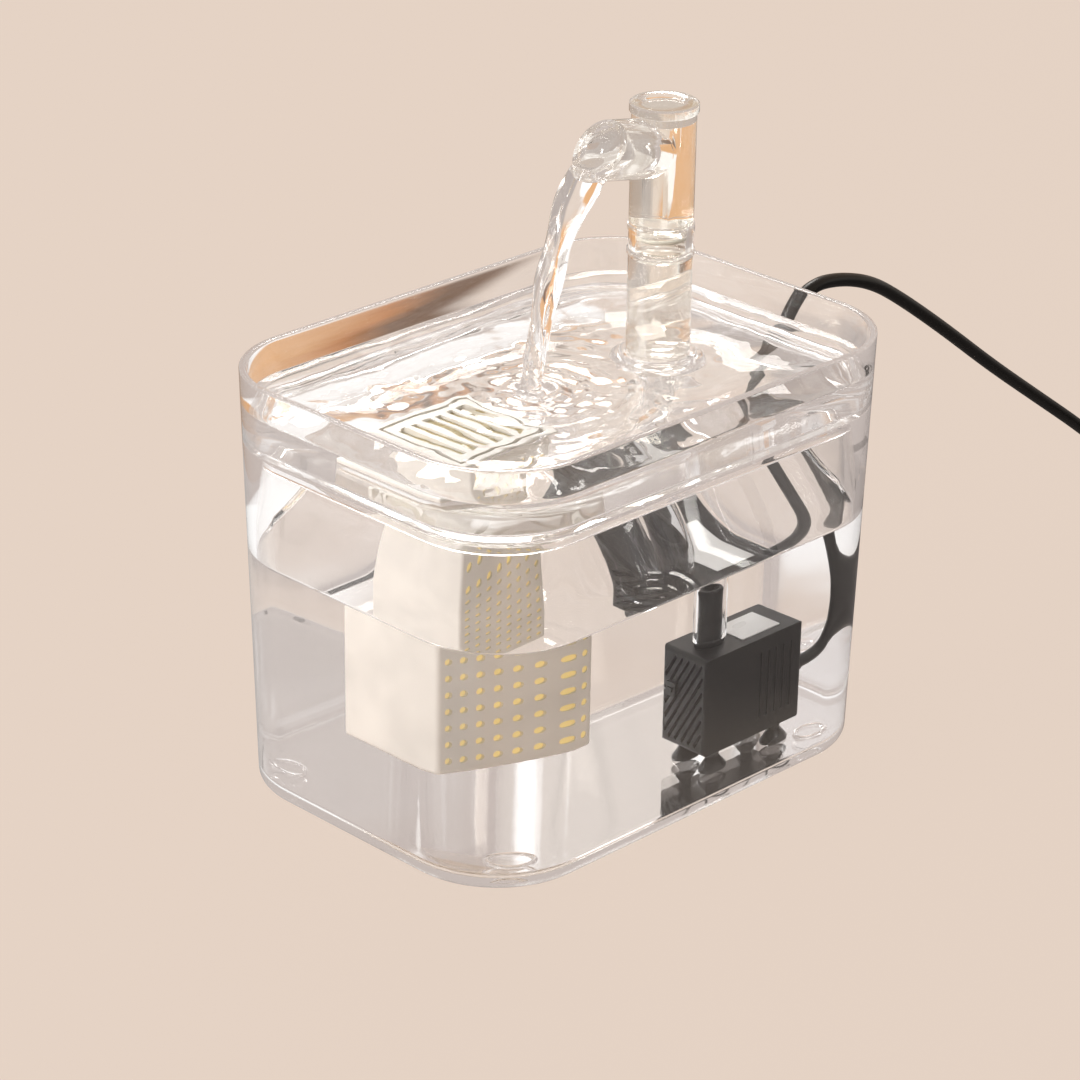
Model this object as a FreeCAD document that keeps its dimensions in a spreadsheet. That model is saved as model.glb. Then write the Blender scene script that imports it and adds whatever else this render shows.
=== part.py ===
import FreeCAD, Part
import math
import os
import Sketcher
from FreeCAD import Placement, Rotation, Vector

# Pet water fountain: a clear tank, a clear drinking tray on top of it, a clear swivelling tap,
# a hanging filter box and a small submersible pump with its cord.
# Millimetres, +Z up, origin on the table under the middle of the tank.
# The long side runs along X, and the spout points along -X.

sizes = {
    # Tank
    "tankLength": 174.3,
    "tankWidth": 124.0,
    "tankHeight": 114.2,
    "cornerRadius": 32.0,
    "wallDraft": 1.2,
    "tankWall": 2.6,
    "tankFloor": 3.5,
    "tankFootRadius": 3.0,
    "floorRingDiameter": 13.0,
    "floorRingWidth": 1.4,
    "floorRingHeight": 0.8,
    "floorRingX": 62.0,
    "floorRingY": 42.0,
    "cordNotchWidth": 10.0,
    "cordNotchDepth": 14.0,
    "cordNotchY": -7.0,
    # Tray
    "trayHeight": 22.3,
    "trayWall": 2.4,
    "trayFloor": 2.5,
    "trayRimRadius": 0.7,
    "skirtDepth": 5.2,
    "skirtWall": 2.0,
    "floorDrop": 0.7,
    "trayGap": 0.4,
    "ledgeThickness": 1.8,
    # Tap
    "tapX": 42.0,
    "tapDiameter": 20.0,
    "tapWall": 2.2,
    "tapGap": 0.3,
    "collarWall": 4.7,
    "collarHeight": 8.0,
    "portDiameter": 9.4,
    "portWall": 1.5,
    "portLength": 13.0,
    "columnHeight": 44.0,
    "beadWidth": 0.6,
    "beadHeight": 1.8,
    "spigotHeight": 8.0,
    "spigotDiameter": 15.0,
    "spigotWall": 1.6,
    "sealThickness": 1.4,
    "headHeight": 43.4,
    "spoutDiameter": 18.4,
    "spoutWall": 1.8,
    "spoutHeight": 31.6,
    "spoutReach": 33.0,
    "spoutRise": 11.0,
    "mouthSlant": 9.0,
    "capDiameter": 21.4,
    "capHeight": 3.0,
    "capPlugDepth": 3.0,
    "capDishDiameter": 13.0,
    "capDishDepth": 1.2,
    # Filter box
    "filterX": -41.5,
    "filterLength": 37.0,
    "filterWidth": 37.0,
    "filterDepth": 89.5,
    "filterWall": 1.6,
    "filterCorner": 2.0,
    "filterFlange": 2.6,
    "flangeHeight": 1.5,
    "filterGap": 0.4,
    "slotLength": 2.6,
    "slotHeight": 1.5,
    "slotColumns": 7,
    "slotRows": 13,
    "slotPitchX": 4.5,
    "slotPitchZ": 6.0,
    "slotStart": 8.0,
    "mediaGap": 0.3,
    "spongeHeight": 24.0,
    "carbonHeight": 34.0,
    "lidHeight": 2.0,
    "lidBars": 5,
    "lidBarWidth": 2.2,
    "lidFrame": 3.0,
    # Pump
    "pumpX": 36.0,
    "pumpY": -24.0,
    "pumpLength": 44.0,
    "pumpWidth": 32.0,
    "pumpHeight": 33.0,
    "pumpCorner": 1.6,
    "coverDepth": 6.0,
    "coverWall": 1.6,
    "grilleSlot": 1.5,
    "grillePitch": 3.4,
    "grilleBorder": 2.4,
    "ribPitch": 3.4,
    "ribWidth": 1.4,
    "ribDepth": 0.7,
    "ribCount": 5,
    "sliderLength": 6.4,
    "sliderHeight": 4.6,
    "sliderDepth": 1.2,
    "sliderNub": 1.4,
    "sliderY": 8.0,
    "sliderZ": 19.5,
    "rotorZ": 15.5,
    "chamberDiameter": 23.0,
    "rotorDiameter": 14.0,
    "rotorLength": 17.0,
    "rotorGap": 0.6,
    "shaftDiameter": 2.5,
    "shaftGap": 0.05,
    "bushDiameter": 5.0,
    "bushLength": 2.5,
    "plateThickness": 1.6,
    "inletDiameter": 11.0,
    "bladeCount": 6,
    "bladeThickness": 1.2,
    "bladeDiameter": 20.0,
    "bladeHeight": 5.0,
    "hubDiameter": 6.4,
    "nozzleDiameter": 9.4,
    "nozzleBore": 6.0,
    "nozzleHeight": 9.0,
    "nozzleSeat": 1.2,
    "hoseWall": 1.5,
    "hoseGap": 0.3,
    "hoseGrip": 7.0,
    "hoseStraight": 17.0,
    "cupHeight": 7.0,
    "cupDiameter": 11.0,
    "cupX": 14.0,
    "cupY": 10.0,
    "cupLip": 0.8,
    "labelLength": 17.0,
    "labelWidth": 21.0,
    "labelThickness": 0.3,
    "labelX": 6.0,
    "glandDiameter": 8.0,
    "glandTip": 5.6,
    "glandLength": 9.0,
    "glandZ": 12.5,
    # Cord and plug
    "cordDiameter": 4.5,
    "coilInner": 17.5,
    "coilPitch": 5.0,
    "coilTurns": 3,
    "plugLength": 22.0,
    "plugWidth": 15.0,
    "plugHeight": 8.0,
    "plugShellLength": 12.0,
    "plugShellWidth": 12.0,
    "plugShellHeight": 4.5,
    "plugShellWall": 0.4,
    "plugTongueHeight": 1.8,
}

doc = FreeCAD.newDocument("WaterFountain")
sheet = doc.addObject("Spreadsheet::Sheet", "Sizes")
for row, (alias, value) in enumerate(sizes.items(), 1):
    sheet.set(f"A{row}", alias)
    sheet.set(f"B{row}", str(value))
    sheet.setAlias(f"B{row}", alias)
doc.recompute()


def bound(text):
    """Write the size names in a formula the way the sheet's users refer to them."""
    words = []
    word = ""
    for letter in str(text) + " ":
        if letter.isalnum() or letter == "_":
            word += letter
            continue
        words.append(f"Sizes.{word}" if word in sizes else word)
        words.append(letter)
        word = ""
    return "".join(words).strip()


def value(text):
    """The number that a formula of sizes comes to."""
    result = sheet.evalExpression(bound(text))
    return float(getattr(result, "Value", result))


def bind(thing, prop, text):
    thing.setExpression(prop, bound(text))


def new_body(name, x="0", y="0", z="0"):
    body = doc.addObject("PartDesign::Body", name)
    body.Label = name
    for axis, text in (("x", x), ("y", y), ("z", z)):
        if text != "0":
            bind(body, f".Placement.Base.{axis}", text)
    doc.recompute()
    return body


def new_sketch(body, name, plane, height="0"):
    """A sketch on one of the body's own planes, moved along the plane's normal by height."""
    support = [item for item in body.Origin.OriginFeatures if item.Role == plane][0]
    sketch = body.newObject("Sketcher::SketchObject", name)
    sketch.AttachmentSupport = [(support, "")]
    sketch.MapMode = "FlatFace"
    bind(sketch, ".AttachmentOffset.Base.z", height)
    return sketch


def lock(sketch, geometry, point, x, y):
    """Hold a point of a sketch at two formulas; a zero puts it on the axis."""
    for kind, axis, text in (("DistanceX", -2, x), ("DistanceY", -1, y)):
        if abs(value(text)) < 1e-9:
            sketch.addConstraint(Sketcher.Constraint("PointOnObject", geometry, point, axis))
            continue
        index = sketch.addConstraint(Sketcher.Constraint(kind, geometry, point, value(text)))
        sketch.setExpression(f"Constraints[{index}]", bound(text))


def draw_polygon(sketch, points):
    corners = [Vector(value(x), value(y), 0) for x, y in points]
    first = sketch.GeometryCount
    count = len(corners)
    for i in range(count):
        sketch.addGeometry(Part.LineSegment(corners[i], corners[(i + 1) % count]), False)
    for i in range(count):
        after = first + (i + 1) % count
        sketch.addConstraint(Sketcher.Constraint("Coincident", first + i, 2, after, 1))
    for i, (x, y) in enumerate(points):
        lock(sketch, first + i, 1, x, y)


def draw_rectangle(sketch, x0, x1, y0, y1):
    draw_polygon(sketch, [(x0, y0), (x1, y0), (x1, y1), (x0, y1)])


def draw_circle(sketch, x, y, diameter):
    centre = Vector(value(x), value(y), 0)
    circle = Part.Circle(centre, Vector(0, 0, 1), value(diameter) / 2)
    index = sketch.addGeometry(circle, False)
    lock(sketch, index, 3, x, y)
    constraint = sketch.addConstraint(Sketcher.Constraint("Diameter", index, value(diameter)))
    sketch.setExpression(f"Constraints[{constraint}]", bound(diameter))


def draw_rounded(sketch, length, width, radius):
    """A rectangle about the origin with round corners."""
    a, b, r = value(length) / 2, value(width) / 2, value(radius)
    straight = [((-a + r, -b), (a - r, -b)), ((a, -b + r), (a, b - r)),
                ((a - r, b), (-a + r, b)), ((-a, b - r), (-a, -b + r))]
    centres = [(a - r, -b + r), (a - r, b - r), (-a + r, b - r), (-a + r, -b + r)]
    for i in range(4):
        start, end = straight[i]
        sketch.addGeometry(Part.LineSegment(Vector(*start, 0), Vector(*end, 0)), False)
        circle = Part.Circle(Vector(*centres[i], 0), Vector(0, 0, 1), r)
        angle = math.pi / 2 * (i - 1)
        sketch.addGeometry(Part.ArcOfCircle(circle, angle, angle + math.pi / 2), False)
    for i in range(4):
        line, arc, after = 2 * i, 2 * i + 1, (2 * i + 2) % 8
        sketch.addConstraint(Sketcher.Constraint("Tangent", line, 2, arc, 1))
        sketch.addConstraint(Sketcher.Constraint("Tangent", arc, 2, after, 1))
        level = "Vertical" if i % 2 else "Horizontal"
        sketch.addConstraint(Sketcher.Constraint(level, line))
    for arc in (3, 5, 7):
        sketch.addConstraint(Sketcher.Constraint("Equal", 1, arc))
    index = sketch.addConstraint(Sketcher.Constraint("Radius", 1, r))
    sketch.setExpression(f"Constraints[{index}]", bound(radius))
    sides = [("DistanceY", 0, f"-({width}) / 2"), ("DistanceX", 2, f"({length}) / 2"),
             ("DistanceY", 4, f"({width}) / 2"), ("DistanceX", 6, f"-({length}) / 2")]
    for kind, line, text in sides:
        index = sketch.addConstraint(Sketcher.Constraint(kind, line, 1, value(text)))
        sketch.setExpression(f"Constraints[{index}]", bound(text))


def pad(body, name, sketch, length, midplane=False, reverse=False):
    feature = body.newObject("PartDesign::Pad", name)
    feature.Profile = sketch
    feature.Midplane = midplane
    feature.Reversed = reverse
    bind(feature, "Length", length)
    doc.recompute()
    return feature


def pocket(body, name, sketch, length, midplane=False, reverse=False):
    before = body.Tip.Shape.Volume
    feature = body.newObject("PartDesign::Pocket", name)
    feature.Profile = sketch
    feature.Midplane = midplane
    feature.Reversed = reverse
    bind(feature, "Length", length)
    doc.recompute()
    if feature.Shape.Volume > before - 1e-3:
        raise RuntimeError(f"{body.Label}: {name} cuts nothing")
    return feature


def revolve(body, name, sketch, cut=False):
    kind = "PartDesign::Groove" if cut else "PartDesign::Revolution"
    feature = body.newObject(kind, name)
    feature.Profile = sketch
    feature.ReferenceAxis = (sketch, ["V_Axis"])
    feature.Angle = 360
    doc.recompute()
    return feature


def loft(body, name, low, high, cut=False):
    kind = "PartDesign::SubtractiveLoft" if cut else "PartDesign::AdditiveLoft"
    feature = body.newObject(kind, name)
    feature.Profile = low
    feature.Sections = [high]
    feature.Ruled = True
    doc.recompute()
    return feature


def round_edges(body, name, radius, chosen):
    """Fillet the edges of the body's last shape that the test chooses."""
    base = body.Tip
    names = [f"Edge{i}" for i, edge in enumerate(base.Shape.Edges, 1) if chosen(edge)]
    feature = body.newObject("PartDesign::Fillet", name)
    feature.Base = (base, names)
    bind(feature, "Radius", radius)
    doc.recompute()
    return feature


def spans(edge, low, high):
    """Whether an edge lies between two heights."""
    box = edge.BoundBox
    return low - 0.01 < box.ZMin and box.ZMax < high + 0.01


def tapered_block(body, name, z0, z1, inset, cut=False):
    """A block that follows the drafted outline of the tank, drawn in by inset."""
    sketches = []
    for part, z in (("Low", z0), ("High", z1)):
        grow = f"2 * ({z}) * tan(wallDraft) - 2 * ({inset})"
        sketch = new_sketch(body, name + part, "XY_Plane", z)
        draw_rounded(sketch, f"tankLength + {grow}", f"tankWidth + {grow}",
                     f"cornerRadius - ({inset})")
        sketches.append(sketch)
    return loft(body, name, *sketches, cut=cut)


# Heights that several pieces share
tray_top = "tankHeight + trayHeight"
tray_floor_top = "tankHeight - floorDrop"
tray_floor_under = "tankHeight - floorDrop - trayFloor"
head_bottom = "tankHeight - floorDrop + columnHeight + tapGap"
head_top = "tankHeight - floorDrop + columnHeight + tapGap + headHeight"
pump_bottom = "tankFloor + cupHeight"
# Places along the pump's axis, from the middle of the pump
housing_front = "(coverDepth - pumpLength / 2)"
chamber_depth = "(plateThickness + bladeHeight + 2 * rotorGap)"
well_depth = "(plateThickness + bladeHeight + rotorLength + 2 * rotorGap)"
impeller_front = "(coverDepth - pumpLength / 2 + plateThickness + rotorGap)"
nozzle_x = "(coverDepth - pumpLength / 2 + plateThickness + rotorGap + bladeHeight / 2)"


def make_tank():
    body = new_body("tank")
    tapered_block(body, "Outside", "0", "tankHeight", "0")
    tapered_block(body, "Inside", "tankFloor", "tankHeight", "tankWall", cut=True)
    round_edges(body, "Foot", "tankFootRadius", lambda edge: spans(edge, 0, 0))
    notch = new_sketch(body, "NotchSketch", "YZ_Plane")
    low = "tankHeight - cordNotchDepth"
    draw_rectangle(notch, "cordNotchY - cordNotchWidth / 2", "cordNotchY + cordNotchWidth / 2",
                   low, "tankHeight + 1")
    pocket(body, "Notch", notch, "tankLength", reverse=True)
    round_edges(body, "NotchCorners", "cordNotchWidth / 3",
                lambda edge: spans(edge, value(low), value(low))
                and edge.BoundBox.YLength < 0.01 and edge.BoundBox.XMax > value("tankLength") / 3)
    rings = new_sketch(body, "FloorRings", "XY_Plane", "tankFloor")
    for x in ("floorRingX", "-floorRingX"):
        for y in ("floorRingY", "-floorRingY"):
            draw_circle(rings, x, y, "floorRingDiameter")
            draw_circle(rings, x, y, "floorRingDiameter - 2 * floorRingWidth")
    pad(body, "RaisedRings", rings, "floorRingHeight")
    return body


def make_tray():
    body = new_body("tray")
    skirt_low = "tankHeight - skirtDepth"
    tapered_block(body, "Wall", "tankHeight", tray_top, "0")
    tapered_block(body, "Skirt", skirt_low, "tankHeight", "tankWall + trayGap")
    tapered_block(body, "Basin", "tankHeight + ledgeThickness", tray_top, "trayWall", cut=True)
    tapered_block(body, "Well", tray_floor_top, "tankHeight + ledgeThickness + 0.01",
                  "tankWall + trayGap + skirtWall", cut=True)
    tapered_block(body, "Underside", skirt_low, tray_floor_under,
                  "tankWall + trayGap + skirtWall", cut=True)
    top = value(tray_top)
    round_edges(body, "Rim", "trayRimRadius", lambda edge: spans(edge, top, top))
    hole = new_sketch(body, "FilterOpening", "XY_Plane", tray_floor_under)
    half_x, half_y = "(filterLength / 2 + filterGap)", "(filterWidth / 2 + filterGap)"
    draw_rectangle(hole, f"filterX - {half_x}", f"filterX + {half_x}", f"-{half_y}", half_y)
    pocket(body, "FilterHole", hole, "trayFloor", reverse=True)
    collar = new_sketch(body, "CollarOutline", "XY_Plane", tray_floor_under)
    draw_circle(collar, "tapX", "0", "tapDiameter + 2 * tapGap + 2 * collarWall")
    pad(body, "Collar", collar, "trayFloor + collarHeight")
    socket = new_sketch(body, "SocketOutline", "XY_Plane", tray_floor_top)
    draw_circle(socket, "tapX", "0", "tapDiameter + 2 * tapGap")
    pocket(body, "Socket", socket, "collarHeight", reverse=True)
    port = new_sketch(body, "PortOutline", "XY_Plane", tray_floor_under)
    draw_circle(port, "tapX", "0", "portDiameter")
    pad(body, "Port", port, "portLength", reverse=True)
    bore = new_sketch(body, "PortBore", "XY_Plane", f"{tray_floor_under} - portLength")
    draw_circle(bore, "tapX", "0", "portDiameter - 2 * portWall")
    pocket(body, "WaterWay", bore, "portLength + trayFloor", reverse=True)
    collar_top = value(f"{tray_floor_top} + collarHeight")
    round_edges(body, "CollarEdge", "collarWall / 4", lambda edge: spans(edge, collar_top, collar_top)
                and edge.Curve.Radius > value("tapDiameter / 2 + tapGap + collarWall / 2"))
    notch = new_sketch(body, "SkirtNotch", "YZ_Plane")
    draw_rectangle(notch, "cordNotchY - cordNotchWidth / 2", "cordNotchY + cordNotchWidth / 2",
                   skirt_low, tray_floor_under)
    pocket(body, "NotchCut", notch, "tankLength", reverse=True)
    return body


def make_tap_column():
    body = new_body("tap_column", "tapX", "0", tray_floor_top)
    profile = new_sketch(body, "ColumnProfile", "XZ_Plane")
    outer, bore = "tapDiameter / 2", "tapDiameter / 2 - tapWall"
    spigot, throat = "spigotDiameter / 2", "spigotDiameter / 2 - spigotWall"
    top = "columnHeight + tapGap + spigotHeight"
    seal_low = "columnHeight + spigotHeight / 2 - sealThickness / 2"
    seal_high = "columnHeight + spigotHeight / 2 + sealThickness / 2"
    groove = "spigotDiameter / 2 + tapGap - sealThickness"
    draw_polygon(profile, [
        (bore, "0"), (outer, "0"), (outer, "columnHeight - beadHeight"),
        ("tapDiameter / 2 + beadWidth", "columnHeight - beadHeight * 0.7"),
        ("tapDiameter / 2 + beadWidth", "columnHeight"), (spigot, "columnHeight"),
        (spigot, seal_low), (groove, seal_low), (groove, seal_high), (spigot, seal_high),
        (spigot, f"{top} - 0.8"), (f"{spigot} - 0.8", top), (throat, top),
        (throat, "columnHeight - 1"), (bore, "columnHeight - 3")])
    revolve(body, "Column", profile)
    return body


def make_tap_seal():
    """Round seal in the column's groove, where the head turns on it."""
    body = doc.addObject("Part::Torus", "tap_seal")
    body.Label = "tap_seal"
    bind(body, "Radius2", "sealThickness / 2 - 0.05")
    bind(body, "Radius1", "spigotDiameter / 2 + tapGap - sealThickness / 2")
    bind(body, ".Placement.Base.x", "tapX")
    bind(body, ".Placement.Base.z", f"{tray_floor_top} + columnHeight + spigotHeight / 2")
    return body


def lean(sketch, axis, angle):
    """Set a sketch at the spout's height, leaning with its axis."""
    sketch.AttachmentOffset = Placement(Vector(), Rotation(Vector(*axis), angle))
    bind(sketch, ".AttachmentOffset.Base.y", "spoutHeight")


def make_tap_head():
    body = new_body("tap_head", "tapX", "0", head_bottom)
    outline = new_sketch(body, "UprightOutline", "XY_Plane")
    draw_circle(outline, "0", "0", "tapDiameter")
    pad(body, "Upright", outline, "headHeight")
    bead = new_sketch(body, "BeadOutline", "XY_Plane", "spigotHeight - beadHeight")
    draw_circle(bead, "0", "0", "tapDiameter + beadWidth")
    pad(body, "Bead", bead, "beadHeight")
    rise = value("spoutRise")
    spout = new_sketch(body, "SpoutOutline", "YZ_Plane")
    lean(spout, (1, 0, 0), rise)
    draw_circle(spout, "0", "0", "spoutDiameter")
    pad(body, "Spout", spout, "spoutReach", reverse=True)
    mouth = new_sketch(body, "MouthCut", "XZ_Plane")
    lean(mouth, (0, 0, 1), -rise)
    draw_polygon(mouth, [
        ("-spoutReach - mouthSlant", "-spoutDiameter"),
        ("-spoutReach - mouthSlant / 2", "-spoutDiameter"),
        ("-spoutReach + mouthSlant * 1.5", "spoutDiameter"),
        ("-spoutReach - mouthSlant", "spoutDiameter")])
    pocket(body, "Mouth", mouth, "2 * spoutDiameter", midplane=True)
    bore = new_sketch(body, "SpoutBore", "YZ_Plane")
    lean(bore, (1, 0, 0), rise)
    draw_circle(bore, "0", "0", "spoutDiameter - 2 * spoutWall")
    pocket(body, "SpoutWay", bore, "spoutReach + 1")
    inside = new_sketch(body, "UprightBore", "XY_Plane")
    draw_circle(inside, "0", "0", "tapDiameter - 2 * tapWall")
    pocket(body, "UprightWay", inside, "headHeight", reverse=True)
    return body


def make_tap_cap():
    body = new_body("tap_cap", "tapX", "0", head_top)
    profile = new_sketch(body, "CapProfile", "XZ_Plane")
    plug = "tapDiameter / 2 - tapWall"
    draw_polygon(profile, [
        ("0", "-capPlugDepth"), (plug, "-capPlugDepth"), (plug, "0"), ("capDiameter / 2", "0"),
        ("capDiameter / 2", "capHeight - 0.6"), ("capDiameter / 2 - 0.6", "capHeight"),
        ("capDishDiameter / 2", "capHeight"), ("capDishDiameter / 2", "capHeight - capDishDepth"),
        ("0", "capHeight - capDishDepth")])
    revolve(body, "Cap", profile)
    return body


def make_filter_box():
    body = new_body("filter_box", "filterX", "0", f"{tray_floor_top} - filterDepth")
    half_x, half_y = "filterLength / 2", "filterWidth / 2"
    outline = new_sketch(body, "BoxOutline", "XY_Plane")
    draw_rectangle(outline, f"-{half_x}", half_x, f"-{half_y}", half_y)
    pad(body, "Box", outline, "filterDepth")
    round_edges(body, "Corners", "filterCorner", lambda edge: edge.BoundBox.ZLength > 1)
    flange = new_sketch(body, "FlangeOutline", "XY_Plane", "filterDepth")
    draw_rounded(flange, "filterLength + 2 * filterFlange", "filterWidth + 2 * filterFlange",
                 "filterCorner + filterFlange")
    pad(body, "Flange", flange, "flangeHeight")
    hollow = new_sketch(body, "HollowOutline", "XY_Plane", "filterWall")
    inner_x, inner_y = f"({half_x} - filterWall)", f"({half_y} - filterWall)"
    draw_rectangle(hollow, f"-{inner_x}", inner_x, f"-{inner_y}", inner_y)
    pocket(body, "Hollow", hollow, "filterDepth - filterWall + flangeHeight", reverse=True)
    slot = new_sketch(body, "SlotOutline", "XZ_Plane")
    first = "-(slotColumns - 1) * slotPitchX / 2"
    draw_rectangle(slot, f"{first} - slotLength / 2", f"{first} + slotLength / 2",
                   "slotStart - slotHeight / 2", "slotStart + slotHeight / 2")
    cut = pocket(body, "Slot", slot, "filterWidth + 2", midplane=True)
    grid = body.newObject("PartDesign::MultiTransform", "SlotGrid")
    grid.Originals = [cut]
    across = body.newObject("PartDesign::LinearPattern", "SlotsAcross")
    across.Direction = (slot, ["H_Axis"])
    bind(across, "Length", "(slotColumns - 1) * slotPitchX")
    bind(across, "Occurrences", "slotColumns")
    upward = body.newObject("PartDesign::LinearPattern", "SlotsUpward")
    upward.Direction = (slot, ["V_Axis"])
    bind(upward, "Length", "(slotRows - 1) * slotPitchZ")
    bind(upward, "Occurrences", "slotRows")
    grid.Transformations = [across, upward]
    body.Tip = grid
    doc.recompute()
    return body


def make_filter_lid():
    """Slotted lid that drops into the top of the box."""
    body = new_body("filter_lid", "filterX", "0", f"{tray_floor_top} + flangeHeight - lidHeight")
    half_x = "(filterLength / 2 - filterWall - mediaGap)"
    half_y = "(filterWidth / 2 - filterWall - mediaGap)"
    outline = new_sketch(body, "LidOutline", "XY_Plane")
    draw_rectangle(outline, f"-{half_x}", half_x, f"-{half_y}", half_y)
    pad(body, "Lid", outline, "lidHeight")
    window_x, window_y = f"({half_x} - lidFrame)", f"({half_y} - lidFrame)"
    pitch = f"(2 * {window_x} + lidBarWidth) / (lidBars + 1)"
    window = new_sketch(body, "WindowOutline", "XY_Plane")
    draw_rectangle(window, f"-{window_x}", f"-{window_x} + {pitch} - lidBarWidth",
                   f"-{window_y}", window_y)
    cut = pocket(body, "Window", window, "lidHeight", reverse=True)
    row = body.newObject("PartDesign::LinearPattern", "Windows")
    row.Originals = [cut]
    row.Direction = (window, ["H_Axis"])
    bind(row, "Length", f"lidBars * {pitch}")
    bind(row, "Occurrences", "lidBars + 1")
    body.Tip = row
    doc.recompute()
    return body


def make_block(name, x, y, z, length, width, height):
    """A plain block from the middle of its underside."""
    block = doc.addObject("Part::Box", name)
    block.Label = name
    for prop, text in (("Length", length), ("Width", width), ("Height", height)):
        bind(block, prop, text)
    bind(block, ".Placement.Base.x", f"{x} - ({length}) / 2")
    bind(block, ".Placement.Base.y", f"{y} - ({width}) / 2")
    bind(block, ".Placement.Base.z", z)
    return block


def make_filter_media():
    length = "filterLength - 2 * filterWall - 2 * mediaGap"
    width = "filterWidth - 2 * filterWall - 2 * mediaGap"
    low = f"{tray_floor_top} - filterDepth + filterWall"
    cotton_height = ("filterDepth + flangeHeight - filterWall - lidHeight"
                     " - spongeHeight - carbonHeight - mediaGap")
    return [
        make_block("filter_sponge", "filterX", "0", low, length, width, "spongeHeight"),
        make_block("filter_carbon", "filterX", "0", f"{low} + spongeHeight",
                   length, width, "carbonHeight"),
        make_block("filter_cotton", "filterX", "0", f"{low} + spongeHeight + carbonHeight",
                   length, width, cotton_height)]


def make_pump_housing():
    """Housing with the windings cast in behind the rotor's well, ribbed along its sides."""
    body = new_body("pump_housing", "pumpX", "pumpY", pump_bottom)
    front, back = housing_front, "pumpLength / 2"
    half = "pumpWidth / 2"
    outline = new_sketch(body, "HousingOutline", "XY_Plane")
    draw_rectangle(outline, front, back, f"-{half}", half)
    pad(body, "Housing", outline, "pumpHeight")
    end = value(back)
    round_edges(body, "BackCorners", "pumpCorner",
                lambda edge: edge.BoundBox.XMin > end - 0.01)
    groove = new_sketch(body, "GrooveOutline", "XY_Plane", "pumpHeight * 0.16")
    first = "pumpLength / 2 - pumpCorner - ribPitch"
    for side in ("", "-"):
        draw_rectangle(groove, f"{first} - ribWidth", first, f"{side}({half} - ribDepth)",
                       f"{side}({half} + 1)")
    cut = pocket(body, "SideGroove", groove, "pumpHeight * 0.68", reverse=True)
    row = body.newObject("PartDesign::LinearPattern", "SideGrooves")
    row.Originals = [cut]
    row.Direction = (groove, ["H_Axis"])
    row.Reversed = True
    bind(row, "Length", "(ribCount - 1) * ribPitch")
    bind(row, "Occurrences", "ribCount")
    body.Tip = row
    doc.recompute()
    bores = (("Chamber", "chamberDiameter", chamber_depth),
             ("RotorWell", "rotorDiameter + 2 * rotorGap", well_depth),
             ("BushSeat", "bushDiameter", f"{well_depth} + bushLength"))
    for name, diameter, depth in bores:
        outline = new_sketch(body, name + "Outline", "YZ_Plane", front)
        draw_circle(outline, "0", "rotorZ", diameter)
        pocket(body, name, outline, depth, reverse=True)
    outlet = new_sketch(body, "OutletOutline", "XY_Plane", "pumpHeight")
    draw_circle(outlet, nozzle_x, "0", "nozzleBore")
    pocket(body, "Outlet", outlet, "pumpHeight - rotorZ")
    seat = new_sketch(body, "NozzleSeat", "XY_Plane", "pumpHeight")
    draw_circle(seat, nozzle_x, "0", "nozzleDiameter")
    pocket(body, "Seat", seat, "nozzleSeat")
    return body


def make_pump_cover():
    """Front cover that pulls off forwards, with slanted intake slots."""
    body = new_body("pump_front_cover", "pumpX", "pumpY", pump_bottom)
    front = "-pumpLength / 2"
    half = "pumpWidth / 2"
    outline = new_sketch(body, "CoverOutline", "YZ_Plane", front)
    draw_rectangle(outline, f"-{half}", half, "0", "pumpHeight")
    pad(body, "Cover", outline, "coverDepth")
    start = value(front)
    round_edges(body, "CoverCorners", "pumpCorner",
                lambda edge: edge.BoundBox.XMax < start + 0.01)
    hollow = new_sketch(body, "CoverHollow", "YZ_Plane", f"{front} + coverWall")
    draw_rectangle(hollow, f"-{half} + coverWall", f"{half} - coverWall",
                   "coverWall", "pumpHeight - coverWall")
    pocket(body, "Hollow", hollow, "coverDepth", reverse=True)
    slots = new_sketch(body, "SlotOutline", "YZ_Plane", f"{front} + coverWall")
    for low, high, shift in slot_lines():
        draw_slanted_slot(slots, low, high, shift)
    pocket(body, "Slots", slots, "coverWall + 1")
    return body


def slot_lines():
    """Ends of each slanted slot across the pump's front, clipped to a border inside its edge."""
    border = "(grilleBorder)"
    left, right = "(-pumpWidth / 2 + grilleBorder)", "(pumpWidth / 2 - grilleBorder)"
    bottom, top = border, "(pumpHeight - grilleBorder)"
    count = int((value(f"{right} - {left}") + value(f"{top} - {bottom}")) / value("grillePitch * 1.4142"))
    lines = []
    for i in range(1, count + 1):
        # The slot's middle line runs down to the right: across + up stays the same along it
        total = f"({i} * grillePitch * 1.4142)"
        wide, tall = f"({right} - {left})", f"({top} - {bottom})"
        if value(total) < 4 or value(total) > value(f"{wide} + {tall}") - 4:
            continue
        low_y = f"min({total}; {wide})"
        high_z = f"min({total}; {tall})"
        lines.append((low_y, high_z, total))
    return lines


def draw_slanted_slot(sketch, low_y, high_z, total):
    left, bottom = "(-pumpWidth / 2 + grilleBorder)", "grilleBorder"
    lean = "grilleSlot * 0.35"
    points = [(low_y, f"{total} - {low_y}"), (f"{total} - {high_z}", high_z)]
    (y0, z0), (y1, z1) = points
    draw_polygon(sketch, [
        (f"{left} + {y0} - {lean}", f"{bottom} + {z0} - {lean}"),
        (f"{left} + {y0} + {lean}", f"{bottom} + {z0} + {lean}"),
        (f"{left} + {y1} + {lean}", f"{bottom} + {z1} + {lean}"),
        (f"{left} + {y1} - {lean}", f"{bottom} + {z1} - {lean}")])


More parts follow.
